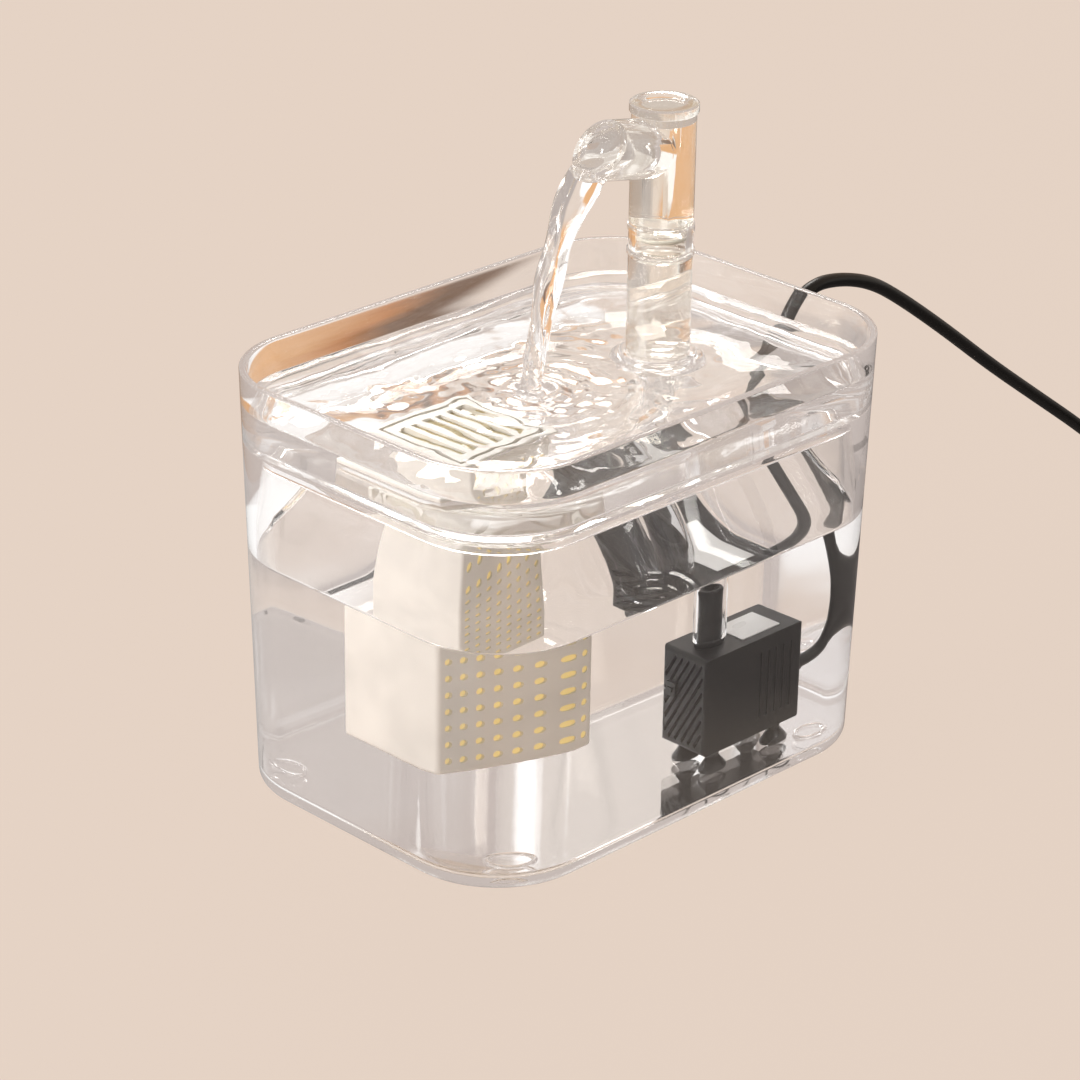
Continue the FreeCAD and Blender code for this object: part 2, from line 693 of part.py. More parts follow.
def make_flow_slider():
    """Small plate on the grille that slides across to cover more of the intake."""
    body = new_body("flow_slider", "pumpX", "pumpY", pump_bottom)
    plate = new_sketch(body, "PlateOutline", "YZ_Plane", "-pumpLength / 2")
    draw_rectangle(plate, "sliderY - sliderLength / 2", "sliderY + sliderLength / 2",
                   "sliderZ - sliderHeight / 2", "sliderZ + sliderHeight / 2")
    pad(body, "Plate", plate, "sliderDepth", reverse=True)
    nub = new_sketch(body, "NubOutline", "YZ_Plane", "-pumpLength / 2 - sliderDepth")
    draw_rectangle(nub, "sliderY - sliderLength / 4", "sliderY + sliderLength / 4",
                   "sliderZ - sliderNub / 2", "sliderZ + sliderNub / 2")
    pad(body, "Nub", nub, "sliderNub / 2", reverse=True)
    return body


def make_volute_plate():
    """Plate that closes the impeller's chamber, with a ring of intake holes round the front bush."""
    body = new_body("volute_plate", f"pumpX + {housing_front}", "pumpY", f"{pump_bottom} + rotorZ")
    outline = new_sketch(body, "PlateOutline", "YZ_Plane")
    draw_circle(outline, "0", "0", "chamberDiameter - 0.1")
    draw_circle(outline, "0", "0", "bushDiameter")
    pad(body, "Plate", outline, "plateThickness")
    hole = new_sketch(body, "IntakeOutline", "YZ_Plane")
    draw_circle(hole, "(inletDiameter + bushDiameter) / 4", "0",
                "(inletDiameter - bushDiameter) / 2 - 0.4")
    cut = pocket(body, "Intake", hole, "plateThickness", reverse=True)
    ring = body.newObject("PartDesign::PolarPattern", "IntakeRing")
    ring.Originals = [cut]
    ring.Axis = (hole, ["N_Axis"])
    ring.Angle = 360
    bind(ring, "Occurrences", "bladeCount")
    body.Tip = ring
    doc.recompute()
    return body


def make_impeller():
    body = new_body("impeller", f"pumpX + {impeller_front}", "pumpY", f"{pump_bottom} + rotorZ")
    outline = new_sketch(body, "HubOutline", "YZ_Plane")
    draw_circle(outline, "0", "0", "hubDiameter")
    pad(body, "Hub", outline, "bladeHeight")
    blade = new_sketch(body, "BladeOutline", "YZ_Plane")
    draw_rectangle(blade, "hubDiameter * 0.4", "bladeDiameter / 2",
                   "-bladeThickness / 2", "bladeThickness / 2")
    added = pad(body, "Blade", blade, "bladeHeight")
    ring = body.newObject("PartDesign::PolarPattern", "Blades")
    ring.Originals = [added]
    ring.Axis = (blade, ["N_Axis"])
    ring.Angle = 360
    bind(ring, "Occurrences", "bladeCount")
    body.Tip = ring
    doc.recompute()
    bore = new_sketch(body, "BoreOutline", "YZ_Plane")
    draw_circle(bore, "0", "0", "shaftDiameter + 2 * shaftGap")
    pocket(body, "Bore", bore, "bladeHeight", reverse=True)
    return body


def make_rotor_magnet():
    body = new_body("rotor_magnet", f"pumpX + {impeller_front} + bladeHeight", "pumpY",
                    f"{pump_bottom} + rotorZ")
    outline = new_sketch(body, "MagnetOutline", "YZ_Plane")
    draw_circle(outline, "0", "0", "rotorDiameter")
    draw_circle(outline, "0", "0", "shaftDiameter + 2 * shaftGap")
    pad(body, "Magnet", outline, "rotorLength")
    return body


def make_shaft():
    shaft = doc.addObject("Part::Cylinder", "rotor_shaft")
    shaft.Label = "rotor_shaft"
    bind(shaft, "Radius", "shaftDiameter / 2")
    bind(shaft, "Height", f"{well_depth} + bushLength")
    shaft.Placement = Placement(Vector(), Rotation(Vector(0, 1, 0), 90))
    bind(shaft, ".Placement.Base.x", f"pumpX + {housing_front}")
    bind(shaft, ".Placement.Base.y", "pumpY")
    bind(shaft, ".Placement.Base.z", f"{pump_bottom} + rotorZ")
    return shaft


def make_bush(name, start, length):
    body = new_body(name, f"pumpX + {housing_front} + {start}", "pumpY",
                    f"{pump_bottom} + rotorZ")
    outline = new_sketch(body, "BushOutline", "YZ_Plane")
    draw_circle(outline, "0", "0", "bushDiameter")
    draw_circle(outline, "0", "0", "shaftDiameter")
    pad(body, "Bush", outline, length)
    return body


def make_nozzle():
    body = new_body("outlet_nozzle", f"pumpX + {nozzle_x}", "pumpY",
                    f"{pump_bottom} + pumpHeight - nozzleSeat")
    profile = new_sketch(body, "NozzleProfile", "XZ_Plane")
    top = "nozzleSeat + nozzleHeight"
    draw_polygon(profile, [
        ("nozzleBore / 2", "0"), ("nozzleDiameter / 2", "0"),
        ("nozzleDiameter / 2", f"{top} - 1"), ("nozzleDiameter / 2 - 0.6", top),
        ("nozzleBore / 2", top)])
    revolve(body, "Nozzle", profile)
    return body


def make_suction_cups():
    """Four cups under the pump, each a flared lip on a short stem."""
    height, radius = value("cupHeight"), value("cupDiameter") / 2
    lip, stem = value("cupLip"), value("cupDiameter") * 0.22
    profile = Part.makePolygon([Vector(*point) for point in (
        (0, 0, lip), (radius - 1, 0, 0), (radius, 0, 0), (radius, 0, lip),
        (stem, 0, height * 0.6), (stem, 0, height), (0, 0, height), (0, 0, lip))])
    cup = Part.Face(profile).revolve(Vector(), Vector(0, 0, 1), 360)
    cups = []
    for x in (-value("cupX"), value("cupX")):
        for y in (-value("cupY"), value("cupY")):
            cups.append(cup.translated(Vector(x, y, 0)))
    feature = doc.addObject("Part::Feature", "suction_cups")
    feature.Label = "suction_cups"
    feature.Shape = Part.makeCompound(cups)
    bind(feature, ".Placement.Base.x", "pumpX")
    bind(feature, ".Placement.Base.y", "pumpY")
    bind(feature, ".Placement.Base.z", "tankFloor")
    return feature


def make_cord_gland():
    gland = doc.addObject("Part::Cone", "cord_gland")
    gland.Label = "cord_gland"
    bind(gland, "Radius1", "glandDiameter / 2")
    bind(gland, "Radius2", "glandTip / 2")
    bind(gland, "Height", "glandLength")
    gland.Placement = Placement(Vector(), Rotation(Vector(0, 1, 0), 90))
    bind(gland, ".Placement.Base.x", "pumpX + pumpLength / 2")
    bind(gland, ".Placement.Base.y", "pumpY")
    bind(gland, ".Placement.Base.z", f"{pump_bottom} + glandZ")
    return gland


def bend_route(points):
    """Straight runs joined by tangent arcs, each as large as its two runs allow."""
    points = [Vector(*point) for point in points]
    edges, radii = [], []
    start = points[0]
    for before, corner, after in zip(points, points[1:], points[2:]):
        back, ahead = before - corner, after - corner
        turn = math.pi - back.getAngle(ahead)
        reach = 0.45 * min(back.Length, ahead.Length)
        radius = reach / math.tan(turn / 2)
        back.normalize()
        ahead.normalize()
        first, last = corner + back * reach, corner + ahead * reach
        middle_way = back + ahead
        middle_way.normalize()
        middle = corner + middle_way * (radius / math.cos(turn / 2) - radius)
        edges += [Part.LineSegment(start, first).toShape(), Part.Arc(first, middle, last).toShape()]
        radii.append(radius)
        start = last
    edges.append(Part.LineSegment(start, points[-1]).toShape())
    return Part.Wire(edges), radii


def sweep_round(wire, radius):
    start = wire.Edges[0]
    point = start.valueAt(start.FirstParameter)
    way = start.tangentAt(start.FirstParameter)
    ring = Part.Wire([Part.Circle(point, way, radius).toShape()])
    return wire.makePipeShell([ring], True, False)


def make_tube(name, wire, radius, bore=0):
    solid = sweep_round(wire, radius)
    expected = math.pi * radius ** 2 * wire.Length
    print(f"{name}: length {wire.Length:.0f} mm, volume {solid.Volume / expected:.3f} of section times length")
    if bore:
        solid = solid.cut(sweep_round(wire, bore))
    feature = doc.addObject("Part::Feature", name)
    feature.Label = name
    feature.Shape = solid
    return feature


def make_hose():
    """Clear hose from the pump's nozzle up to the port under the tray."""
    x0, y0 = value(f"pumpX + {nozzle_x}"), value("pumpY")
    low = value(f"{pump_bottom} + pumpHeight + nozzleHeight - hoseGrip")
    high = value(f"{tray_floor_under} - portLength + hoseGrip")
    straight = value("hoseStraight")
    x1, y1 = value("tapX"), 0
    wire, radii = bend_route([(x0, y0, low), (x0, y0, low + straight),
                              (x1, y1, high - straight), (x1, y1, high)])
    print("outlet_hose bend radii", [round(radius, 1) for radius in radii])
    bore = value("nozzleDiameter / 2 + hoseGap")
    return make_tube("outlet_hose", wire, bore + value("hoseWall"), bore)


# The cord's points, chosen by hand: out of the pump, up the end wall, through the notch,
# over outside the tray and down to the table
cord_points = [
    (67.0, -24.0, 23.0), (75.5, -24.0, 23.0), (79.6, -27.4, 32.0), (80.0, -29.6, 45.0),
    (79.8, -25.6, 57.0), (79.2, -19.0, 68.0), (78.4, -12.6, 79.0), (80.6, -8.4, 93.0),
    (91.2, -7.2, 111.6), (95.4, -7.0, 124.4), (105.0, -7.4, 130.8), (119.0, -6.8, 129.2),
    (134.0, -7.4, 124.4), (150.0, -7.0, 114.4), (173.0, -7.6, 97.6), (200.0, -6.8, 77.2),
    (228.0, -6.0, 57.4), (254.0, -4.8, 39.2), (276.0, -3.6, 22.6), (294.0, -2.8, 9.4),
    (311.0, -2.6, 2.35), (327.0, -2.6, 2.35)]


def coil_route(entry, way, inner, pitch, quarters, rise):
    """One layer spiralling in, a half turn that climbs, and one layer spiralling out again."""
    edges = []
    point, way = Vector(*entry), Vector(*way)
    step = pitch / 4
    inward = [inner + step * (quarters - i) for i in range(quarters)]
    up = Vector(0, 0, 1)

    def quarter(point, way, radius):
        side = way.cross(up)
        centre = point + side * radius
        middle = centre + (way - side).normalize() * radius
        end = centre + way * radius
        edges.append(Part.Arc(point, middle, end).toShape())
        return end, side

    for radius in inward:
        point, way = quarter(point, way, radius)
    side = way.cross(up)
    end = point + side * (2 * inner) + up * rise
    across = end - point
    middle = point + across * 0.5 + way * (across.Length / 2)
    edges.append(Part.Arc(point, middle, end).toShape())
    point, way = end, -way
    for radius in reversed(inward):
        point, way = quarter(point, way, radius)
    return Part.Wire(edges), point, way


def least_gap(wire, radius, skip):
    """The smallest gap between two stretches of a tube that are further apart than skip along it."""
    count = int(wire.Length / 3)
    points = wire.discretize(count)
    step = wire.Length / (count - 1)
    apart = int(skip / step)
    least = min((points[i] - points[j]).Length
                for i in range(count) for j in range(i + apart, count))
    return least - 2 * radius


def make_cord():
    radius = value("cordDiameter") / 2
    wire, radii = bend_route(cord_points)
    print("cord_lead bend radii", [round(item, 1) for item in radii])
    lead = make_tube("cord_lead", wire, radius)
    pitch, inner = value("coilPitch"), value("coilInner")
    quarters = 4 * int(value("coilTurns"))
    entry = cord_points[-1]
    route, end, way = coil_route(entry, (1, 0, 0), inner, pitch, quarters, pitch)
    stub = value("cordDiameter")
    start = Vector(*entry)
    first = Part.LineSegment(start, start + Vector(stub, 0, 0)).toShape()
    route.translate(Vector(stub, 0, 0))
    end = end + Vector(stub, 0, 0)
    last = Part.LineSegment(end, end + way * stub).toShape()
    whole = Part.Wire([first] + route.Edges + [last])
    print(f"cord_coil least gap to itself {least_gap(whole, radius, 40):.2f} mm")
    coil = make_tube("cord_coil", whole, radius)
    tail_start = end + way * stub
    plug_side, plug_middle = tail_start.y + 0.6, value("plugHeight / 2")
    tail_points = [tail_start, tail_start + Vector(-12, 0, 0),
                   Vector(tail_start.x - 26, plug_side, plug_middle),
                   Vector(tail_start.x - 38, plug_side, plug_middle)]
    wire, radii = bend_route([tuple(item) for item in tail_points])
    print("cord_tail bend radii", [round(item, 1) for item in radii])
    tail = make_tube("cord_tail", wire, radius)
    return [lead, coil, tail], tail_points[-1], tail_points[-1] - tail_points[-2]


def make_plug(point, way):
    """Moulded grip and metal shell of the plug, lying at the cord's far end."""
    turn = Rotation(Vector(0, 0, 1), math.degrees(math.atan2(way.y, way.x)))
    grip = new_body("plug_body")
    outline = new_sketch(grip, "GripOutline", "YZ_Plane")
    draw_rectangle(outline, "-plugWidth / 2", "plugWidth / 2", "0", "plugHeight")
    pad(grip, "Grip", outline, "plugLength")
    round_edges(grip, "GripEdges", "plugHeight / 4", lambda edge: edge.BoundBox.XLength > 1)
    shell = new_body("plug_shell")
    ring = new_sketch(shell, "ShellOutline", "YZ_Plane", "plugLength")
    half_y, half_z = "plugShellWidth / 2", "plugShellHeight / 2"
    draw_rectangle(ring, f"-{half_y}", half_y, f"plugHeight / 2 - {half_z}", f"plugHeight / 2 + {half_z}")
    pad(shell, "Shell", ring, "plugShellLength")
    hollow = new_sketch(shell, "ShellHollow", "YZ_Plane", "plugLength + plugShellWall")
    draw_rectangle(hollow, f"-{half_y} + plugShellWall", f"{half_y} - plugShellWall",
                   f"plugHeight / 2 - {half_z} + plugShellWall + plugTongueHeight",
                   f"plugHeight / 2 + {half_z} - plugShellWall")
    pocket(shell, "Hollow", hollow, "plugShellLength", reverse=True)
    for body in (grip, shell):
        body.Placement = Placement(Vector(point.x, point.y, 0), turn)
    return [grip, shell]


def save_parts(parts):
    os.makedirs("parts", exist_ok=True)
    doc.recompute()
    for item in doc.Objects:
        if "Invalid" in item.State or "Error" in item.State:
            raise RuntimeError(f"{item.Label} is {item.State}")
    for part in parts:
        if part.Shape.isNull() or not part.Shape.isValid():
            raise RuntimeError(f"{part.Label} has no valid shape")
        part.Shape.exportStep(f"parts/{part.Label}.step")
        print(part.Label, len(part.Shape.Solids), "solids", round(part.Shape.Volume), "mm3")


parts = [make_tank(), make_tray(), make_tap_column(), make_tap_seal(), make_tap_head(),
         make_tap_cap(), make_filter_box(), make_filter_lid()]
parts += make_filter_media()
parts += [make_pump_housing(), make_pump_cover(), make_flow_slider(), make_volute_plate(),
          make_impeller(), make_rotor_magnet(), make_shaft(),
          make_bush("front_bush", "0", "plateThickness"),
          make_bush("rear_bush", f"({well_depth})", "bushLength"),
          make_nozzle(), make_hose(), make_suction_cups(),
          make_block("pump_label", "pumpX + labelX", "pumpY", f"{pump_bottom} + pumpHeight",
                     "labelLength", "labelWidth", "labelThickness"),
          make_cord_gland()]
cord, cord_end, cord_way = make_cord()
parts += cord + make_plug(cord_end, cord_way)
save_parts(parts)
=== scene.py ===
import math

import bmesh
import bpy
from mathutils import Matrix, Vector, noise


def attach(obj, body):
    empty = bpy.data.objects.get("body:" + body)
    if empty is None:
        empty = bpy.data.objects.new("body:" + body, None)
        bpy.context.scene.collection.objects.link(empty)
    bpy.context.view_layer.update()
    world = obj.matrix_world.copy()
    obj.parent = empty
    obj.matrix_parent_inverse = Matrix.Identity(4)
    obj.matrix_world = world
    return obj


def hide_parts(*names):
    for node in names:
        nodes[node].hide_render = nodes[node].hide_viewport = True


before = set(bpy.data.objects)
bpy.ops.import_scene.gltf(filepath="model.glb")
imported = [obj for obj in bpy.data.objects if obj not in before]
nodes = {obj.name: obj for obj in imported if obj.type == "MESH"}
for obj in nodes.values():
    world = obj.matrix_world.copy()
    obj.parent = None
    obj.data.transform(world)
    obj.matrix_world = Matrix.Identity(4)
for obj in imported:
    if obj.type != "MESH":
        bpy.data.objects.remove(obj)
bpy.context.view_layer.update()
mm = 0.001


# Camera, at the photograph's angle

cameraSet = {
    "place": (-784.7, -774.5, 576.2),
    "right": (0.71056, -0.70350, 0.01359),
    "up": (0.28394, 0.30435, 0.90926),
    "back": (-0.64380, -0.64223, 0.41601),
    "lens": 131.13,
}


def makeCamera():
    data = bpy.data.cameras.new("camera")
    data.sensor_width = 36
    data.lens = cameraSet["lens"]
    data.clip_end = 20
    camera = bpy.data.objects.new("camera", data)
    turn = Matrix((cameraSet["right"], cameraSet["up"], cameraSet["back"])).transposed()
    camera.matrix_world = Matrix.Translation(Vector(cameraSet["place"]) * mm) @ turn.to_4x4()
    bpy.context.scene.collection.objects.link(camera)
    bpy.context.scene.camera = camera


makeCamera()
print("camera placed")


# Shader maths

class Shade:
    # a socket that adds its own Math nodes when it is used in a sum
    def __init__(self, graph, socket):
        self.graph = graph
        self.socket = socket

    def maths(self, operation, *others):
        values = dict(enumerate((self,) + others))
        return self.graph.add("ShaderNodeMath", {"operation": operation}, values)

    def flipped(self, operation, other):
        return self.graph.add("ShaderNodeMath", {"operation": operation}, {0: other, 1: self})

    def __add__(self, other): return self.maths("ADD", other)
    def __radd__(self, other): return self.maths("ADD", other)
    def __sub__(self, other): return self.maths("SUBTRACT", other)
    def __rsub__(self, other): return self.flipped("SUBTRACT", other)
    def __mul__(self, other): return self.maths("MULTIPLY", other)
    def __rmul__(self, other): return self.maths("MULTIPLY", other)
    def __truediv__(self, other): return self.maths("DIVIDE", other)
    def __pow__(self, other): return self.maths("POWER", other)

    def atMost(self, other): return self.maths("MINIMUM", other)
    def atLeast(self, other): return self.maths("MAXIMUM", other)

    def between(self, low, high):
        # 0 below low, 1 above high, smooth in between
        settings = {"interpolation_type": "SMOOTHSTEP"}
        return self.graph.add("ShaderNodeMapRange", settings,
                              {"Value": self, "From Min": low, "From Max": high})


class Graph:
    def __init__(self, tree):
        self.tree = tree
        tree.nodes.clear()

    def add(self, kind, settings=None, values=None, output=0):
        node = self.tree.nodes.new(kind)
        for name, value in (settings or {}).items():
            if name == "stops":
                ramp = node.color_ramp
                while len(ramp.elements) < len(value):
                    ramp.elements.new(0.5)
                for element, (place, colour) in zip(ramp.elements, value):
                    element.position = place
                    element.color = (*colour, 1)
            else:
                setattr(node, name, value)
        for name, value in (values or {}).items():
            if isinstance(value, Shade):
                self.tree.links.new(value.socket, node.inputs[name])
            else:
                node.inputs[name].default_value = value
        return Shade(self, node.outputs[output])

    def blend(self, amount, low, high):
        # colours mixed by amount
        values = {0: amount, 6: low, 7: high}
        return self.add("ShaderNodeMix", {"data_type": "RGBA"}, values, 2)

    def place(self, scale=(1, 1, 1)):
        spot = self.add("ShaderNodeTexCoord", output="Object")
        return self.add("ShaderNodeMapping", None, {"Vector": spot, "Scale": scale})

    def noise(self, scale, detail=3, stretch=(1, 1, 1), roughness=0.5):
        values = {"Vector": self.place(stretch), "Scale": scale, "Detail": detail,
                  "Roughness": roughness}
        return self.add("ShaderNodeTexNoise", None, values)

    def bump(self, height, strength, distance):
        values = {"Height": height, "Strength": strength, "Distance": distance}
        return self.add("ShaderNodeBump", None, values)

    def shader(self, values):
        return self.add("ShaderNodeBsdfPrincipled", None, values)

    def mix(self, amount, first, second):
        return self.add("ShaderNodeMixShader", None, {0: amount, 1: first, 2: second})

    def finish(self, shader, kind="ShaderNodeOutputMaterial"):
        self.add_output(kind, shader)

    def add_output(self, kind, shader):
        node = self.tree.nodes.new(kind)
        self.tree.links.new(shader.socket, node.inputs["Surface"])


def newMaterial(name):
    material = bpy.data.materials.new(name)
    material.use_nodes = True
    return material, Graph(material.node_tree)


def rayKind(graph, *kinds):
    total = 0
    for kind in kinds:
        total = graph.add("ShaderNodeLightPath", output=f"Is {kind} Ray") + total
    return total.atMost(1.0)


def paintedDeepGlow(graph, clear):
    # light that has been bounced about inside the plastic for long is shown as a painted pale glow, in place of
    # the plastic's own shading
    depth = graph.add("ShaderNodeLightPath", output="Ray Depth").between(11, 18)
    paintedGlow = graph.add("ShaderNodeEmission", None, {"Color": colour(202, 190, 184), "Strength": 1.0})
    return graph.mix(depth, clear, paintedGlow)


def colour(red, green, blue):
    # an 8-bit screen colour as the linear one that a shader takes
    def linear(level):
        level /= 255
        return level / 12.92 if level <= 0.04045 else ((level + 0.055) / 1.055) ** 2.4
    return (linear(red), linear(green), linear(blue), 1)


# Finishes

def clearPlastic(name, tint, ior, shadow, scratch=0.02):
    material, graph = newMaterial(name)
    wave = graph.noise(18, 2)
    mottle = graph.noise(55, 4)
    values = {"Base Color": graph.blend(mottle, tint, (1, 1, 1, 1)),
              "Roughness": 0.004 + mottle * scratch,
              "IOR": ior, "Transmission Weight": 1.0,
              "Normal": graph.bump(wave, 0.06, 0.0006)}
    glass = graph.shader(values)
    open_ = graph.add("ShaderNodeBsdfTransparent", None, {"Color": (shadow, shadow, shadow, 1)})
    # rays that have bounced about inside the plastic for long see a painted pale glow
    graph.finish(graph.mix(rayKind(graph, "Shadow", "Diffuse"), paintedDeepGlow(graph, glass), open_))
    return material


def waterFinish(name, tint):
    material, graph = newMaterial(name)
    wave = graph.noise(90, 3)
    values = {"Base Color": graph.blend(wave, tint, (1, 1, 1, 1)), "Roughness": 0.0,
              "IOR": 1.333, "Transmission Weight": 1.0,
              "Normal": graph.bump(wave, 0.05, 0.0004)}
    water = graph.shader(values)
    open_ = graph.add("ShaderNodeBsdfTransparent", None, {"Color": (0.97, 0.97, 0.97, 1)})
    # rays that have bounced about inside the water for long see a painted pale glow
    graph.finish(graph.mix(rayKind(graph, "Shadow", "Diffuse"), paintedDeepGlow(graph, water), open_))
    return material


def mouldedPlastic(name, base, roughness, grain, depth, coat=0.0, shine=0.5, glow=0.0):
    material, graph = newMaterial(name)
    fine = graph.noise(grain, 4)
    broad = graph.noise(30, 3)
    dark = tuple(level * 0.82 for level in base[:3]) + (1,)
    values = {"Base Color": graph.blend(broad.between(0.35, 0.7), base, dark),
              "Roughness": roughness - 0.08 + broad * 0.16,
              "Coat Weight": coat, "Coat Roughness": 0.15, "Specular IOR Level": shine,
              "Emission Color": base, "Emission Strength": glow,
              "Normal": graph.bump(fine, 0.35, depth)}
    graph.finish(graph.shader(values))
    return material


def foamFinish(name, base, deep, scale, depth):
    material, graph = newMaterial(name)
    cells = graph.add("ShaderNodeTexVoronoi", None, {"Vector": graph.place(), "Scale": scale})
    tone = cells.between(0.1, 0.6)
    values = {"Base Color": graph.blend(tone, base, deep), "Roughness": 0.9,
              "Normal": graph.bump(cells, 0.8, depth)}
    graph.finish(graph.shader(values))
    return material


def metalFinish(name, base, roughness):
    material, graph = newMaterial(name)
    brush = graph.noise(60, 3, (1, 20, 20))
    values = {"Base Color": base, "Metallic": 1.0, "Roughness": roughness + brush * 0.1,
              "Normal": graph.bump(brush, 0.1, 0.0001)}
    graph.finish(graph.shader(values))
    return material


finishes = {
    "tank": clearPlastic("clearTank", (0.99, 0.984, 0.986, 1), 1.49, 0.96),
    "tray": clearPlastic("clearTray", (0.99, 0.984, 0.982, 1), 1.49, 0.96),
    "tap": clearPlastic("clearTap", (1.0, 0.975, 0.91, 1), 1.49, 0.94),
    "hose": clearPlastic("clearHose", (0.95, 0.96, 0.98, 1), 1.2, 0.92),
    "water": waterFinish("stillWater", (0.995, 0.995, 0.992, 1)),
    "flow": waterFinish("flowingWater", (0.995, 0.992, 0.985, 1)),
    "white": mouldedPlastic("whitePlastic", colour(238, 234, 228), 0.42, 500, 0.00003),
    "black": mouldedPlastic("pumpPlastic", colour(12, 12, 12), 0.42, 700, 0.00004, 0.0, 0.2),
    "label": mouldedPlastic("labelFilm", colour(226, 226, 226), 0.3, 300, 0.00001, 0.4),
    "cord": mouldedPlastic("cordSkin", colour(17, 16, 15), 0.34, 900, 0.00002, 0.0, 0.3),
    "cup": mouldedPlastic("cupRubber", colour(22, 22, 24), 0.25, 300, 0.00002, 0.0, 0.4),
    "seal": mouldedPlastic("sealSilicone", colour(226, 222, 210), 0.35, 300, 0.00002),
    "rotor": mouldedPlastic("rotorPlastic", colour(196, 198, 202), 0.35, 300, 0.00002),
    "magnet": mouldedPlastic("magnetFerrite", colour(60, 60, 64), 0.55, 900, 0.00005),
    # the filter lining is sponge-coloured and carries a painted glow of 0.32, which keeps the holes of the
    # filter box bright
    "liner": mouldedPlastic("glowingFilterLiner", colour(246, 222, 150), 0.8, 900, 0.0001, 0.0, 0.2, 0.32),
    "sponge": foamFinish("filterSponge", colour(244, 228, 166), colour(226, 204, 128), 700, 0.0004),
    "carbon": foamFinish("filterGranules", colour(246, 228, 156), colour(222, 196, 112), 420, 0.0006),
    "cotton": foamFinish("filterCotton", colour(250, 240, 200), colour(236, 218, 156), 900, 0.0004),
    "shaft": metalFinish("shaftSteel", (0.7, 0.7, 0.72, 1), 0.25),
    "contacts": metalFinish("plugMetal", (0.83, 0.83, 0.85, 1), 0.2),
}
print("materials made")

nodeFinishes = {
    "tank": "tank", "tray": "tray", "tap_column": "tap", "tap_seal": "seal", "tap_head": "tap",
    "tap_cap": "tap", "filter_box": "white", "filter_lid": "white", "filter_sponge": "sponge",
    "filter_carbon": "carbon", "filter_cotton": "cotton", "pump_housing": "black",
    "pump_front_cover": "black", "flow_slider": "black", "volute_plate": "black",
    "impeller": "rotor", "rotor_magnet": "magnet", "rotor_shaft": "shaft", "front_bush": "cup",
    "rear_bush": "cup", "outlet_nozzle": "black", "outlet_hose": "hose", "suction_cups": "cup",
    "pump_label": "label", "cord_gland": "cord", "cord_lead": "cord", "cord_coil": "cord",
    "cord_tail": "cord", "plug_body": "cord", "plug_shell": "contacts",
}
for name, node in nodes.items():
    node.data.materials.clear()
    node.data.materials.append(finishes[nodeFinishes[name]])


# Modelling tools

def addPiece(name, bm, finish, body, smooth=40):
    mesh = bpy.data.meshes.new(name)
    bm.normal_update()
    for face in bm.faces:
        face.smooth = True
    bm.to_mesh(mesh)
    bm.free()
    mesh.set_sharp_from_angle(angle=math.radians(smooth))
    piece = bpy.data.objects.new(name, mesh)
    piece.data.materials.append(finishes[finish])
    bpy.context.scene.collection.objects.link(piece)
    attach(piece, body)
    return piece


def closeSeams(bm):
    bmesh.ops.remove_doubles(bm, verts=bm.verts, dist=1e-6)
    bmesh.ops.recalc_face_normals(bm, faces=bm.faces)


def lathe(profile, centre=(0, 0), steps=128):
    # a closed outline of (radius, height) points, spun about an upright line
    bm = bmesh.new()
    verts = [bm.verts.new((radius * mm, 0, height * mm)) for radius, height in profile]
    edges = [bm.edges.new((verts[i - 1], verts[i])) for i in range(len(verts))]
    bmesh.ops.spin(bm, geom=verts + edges, axis=(0, 0, 1), cent=(0, 0, 0), dvec=(0, 0, 0),
                   angle=math.tau, steps=steps, use_merge=True, use_duplicate=False)
    closeSeams(bm)
    bmesh.ops.translate(bm, verts=bm.verts, vec=(centre[0] * mm, centre[1] * mm, 0))
    return bm


def roundedPoint(u, v, halfX, halfY, radius):
    # takes a point of the square from -1 to 1 to the same ring of a rounded rectangle
    ring = max(abs(u), abs(v))
    if ring == 0:
        return 0.0, 0.0
    x, y = abs(u) / ring * halfX, abs(v) / ring * halfY
    overX, overY = x - (halfX - radius), y - (halfY - radius)
    if overX > 0 and overY > 0:
        reach = math.hypot(overX, overY)
        x = halfX - radius + overX / reach * radius
        y = halfY - radius + overY / reach * radius
    return math.copysign(x * ring, u), math.copysign(y * ring, v)


outlineSet = {"baseLength": 174.3, "baseWidth": 124.0, "draft": 1.2, "corner": 32.0,
              "cornerSteps": 24, "sideSteps": 10}


def outlineRing(height, inset):
    # points round the drafted outline of the tank at a height, drawn in by inset
    grow = height * math.tan(math.radians(outlineSet["draft"])) - inset
    halfX = outlineSet["baseLength"] / 2 + grow
    halfY = outlineSet["baseWidth"] / 2 + grow
    radius = max(outlineSet["corner"] - inset, 0.5)
    points = []
    corners = [(halfX - radius, halfY - radius, 0), (radius - halfX, halfY - radius, 1),
               (radius - halfX, radius - halfY, 2), (halfX - radius, radius - halfY, 3)]
    for i, (x, y, turn) in enumerate(corners):
        for step in range(outlineSet["cornerSteps"] + 1):
            angle = math.pi / 2 * (turn + step / outlineSet["cornerSteps"])
            points.append(Vector((x + radius * math.cos(angle), y + radius * math.sin(angle), height)))
        nextX, nextY, nextTurn = corners[(i + 1) % 4]
        start = points[-1]
        end = Vector((nextX + radius * math.cos(math.pi / 2 * nextTurn),
                      nextY + radius * math.sin(math.pi / 2 * nextTurn), height))
        for step in range(1, outlineSet["sideSteps"]):
            points.append(start.lerp(end, step / outlineSet["sideSteps"]))
    return [point * mm for point in points]


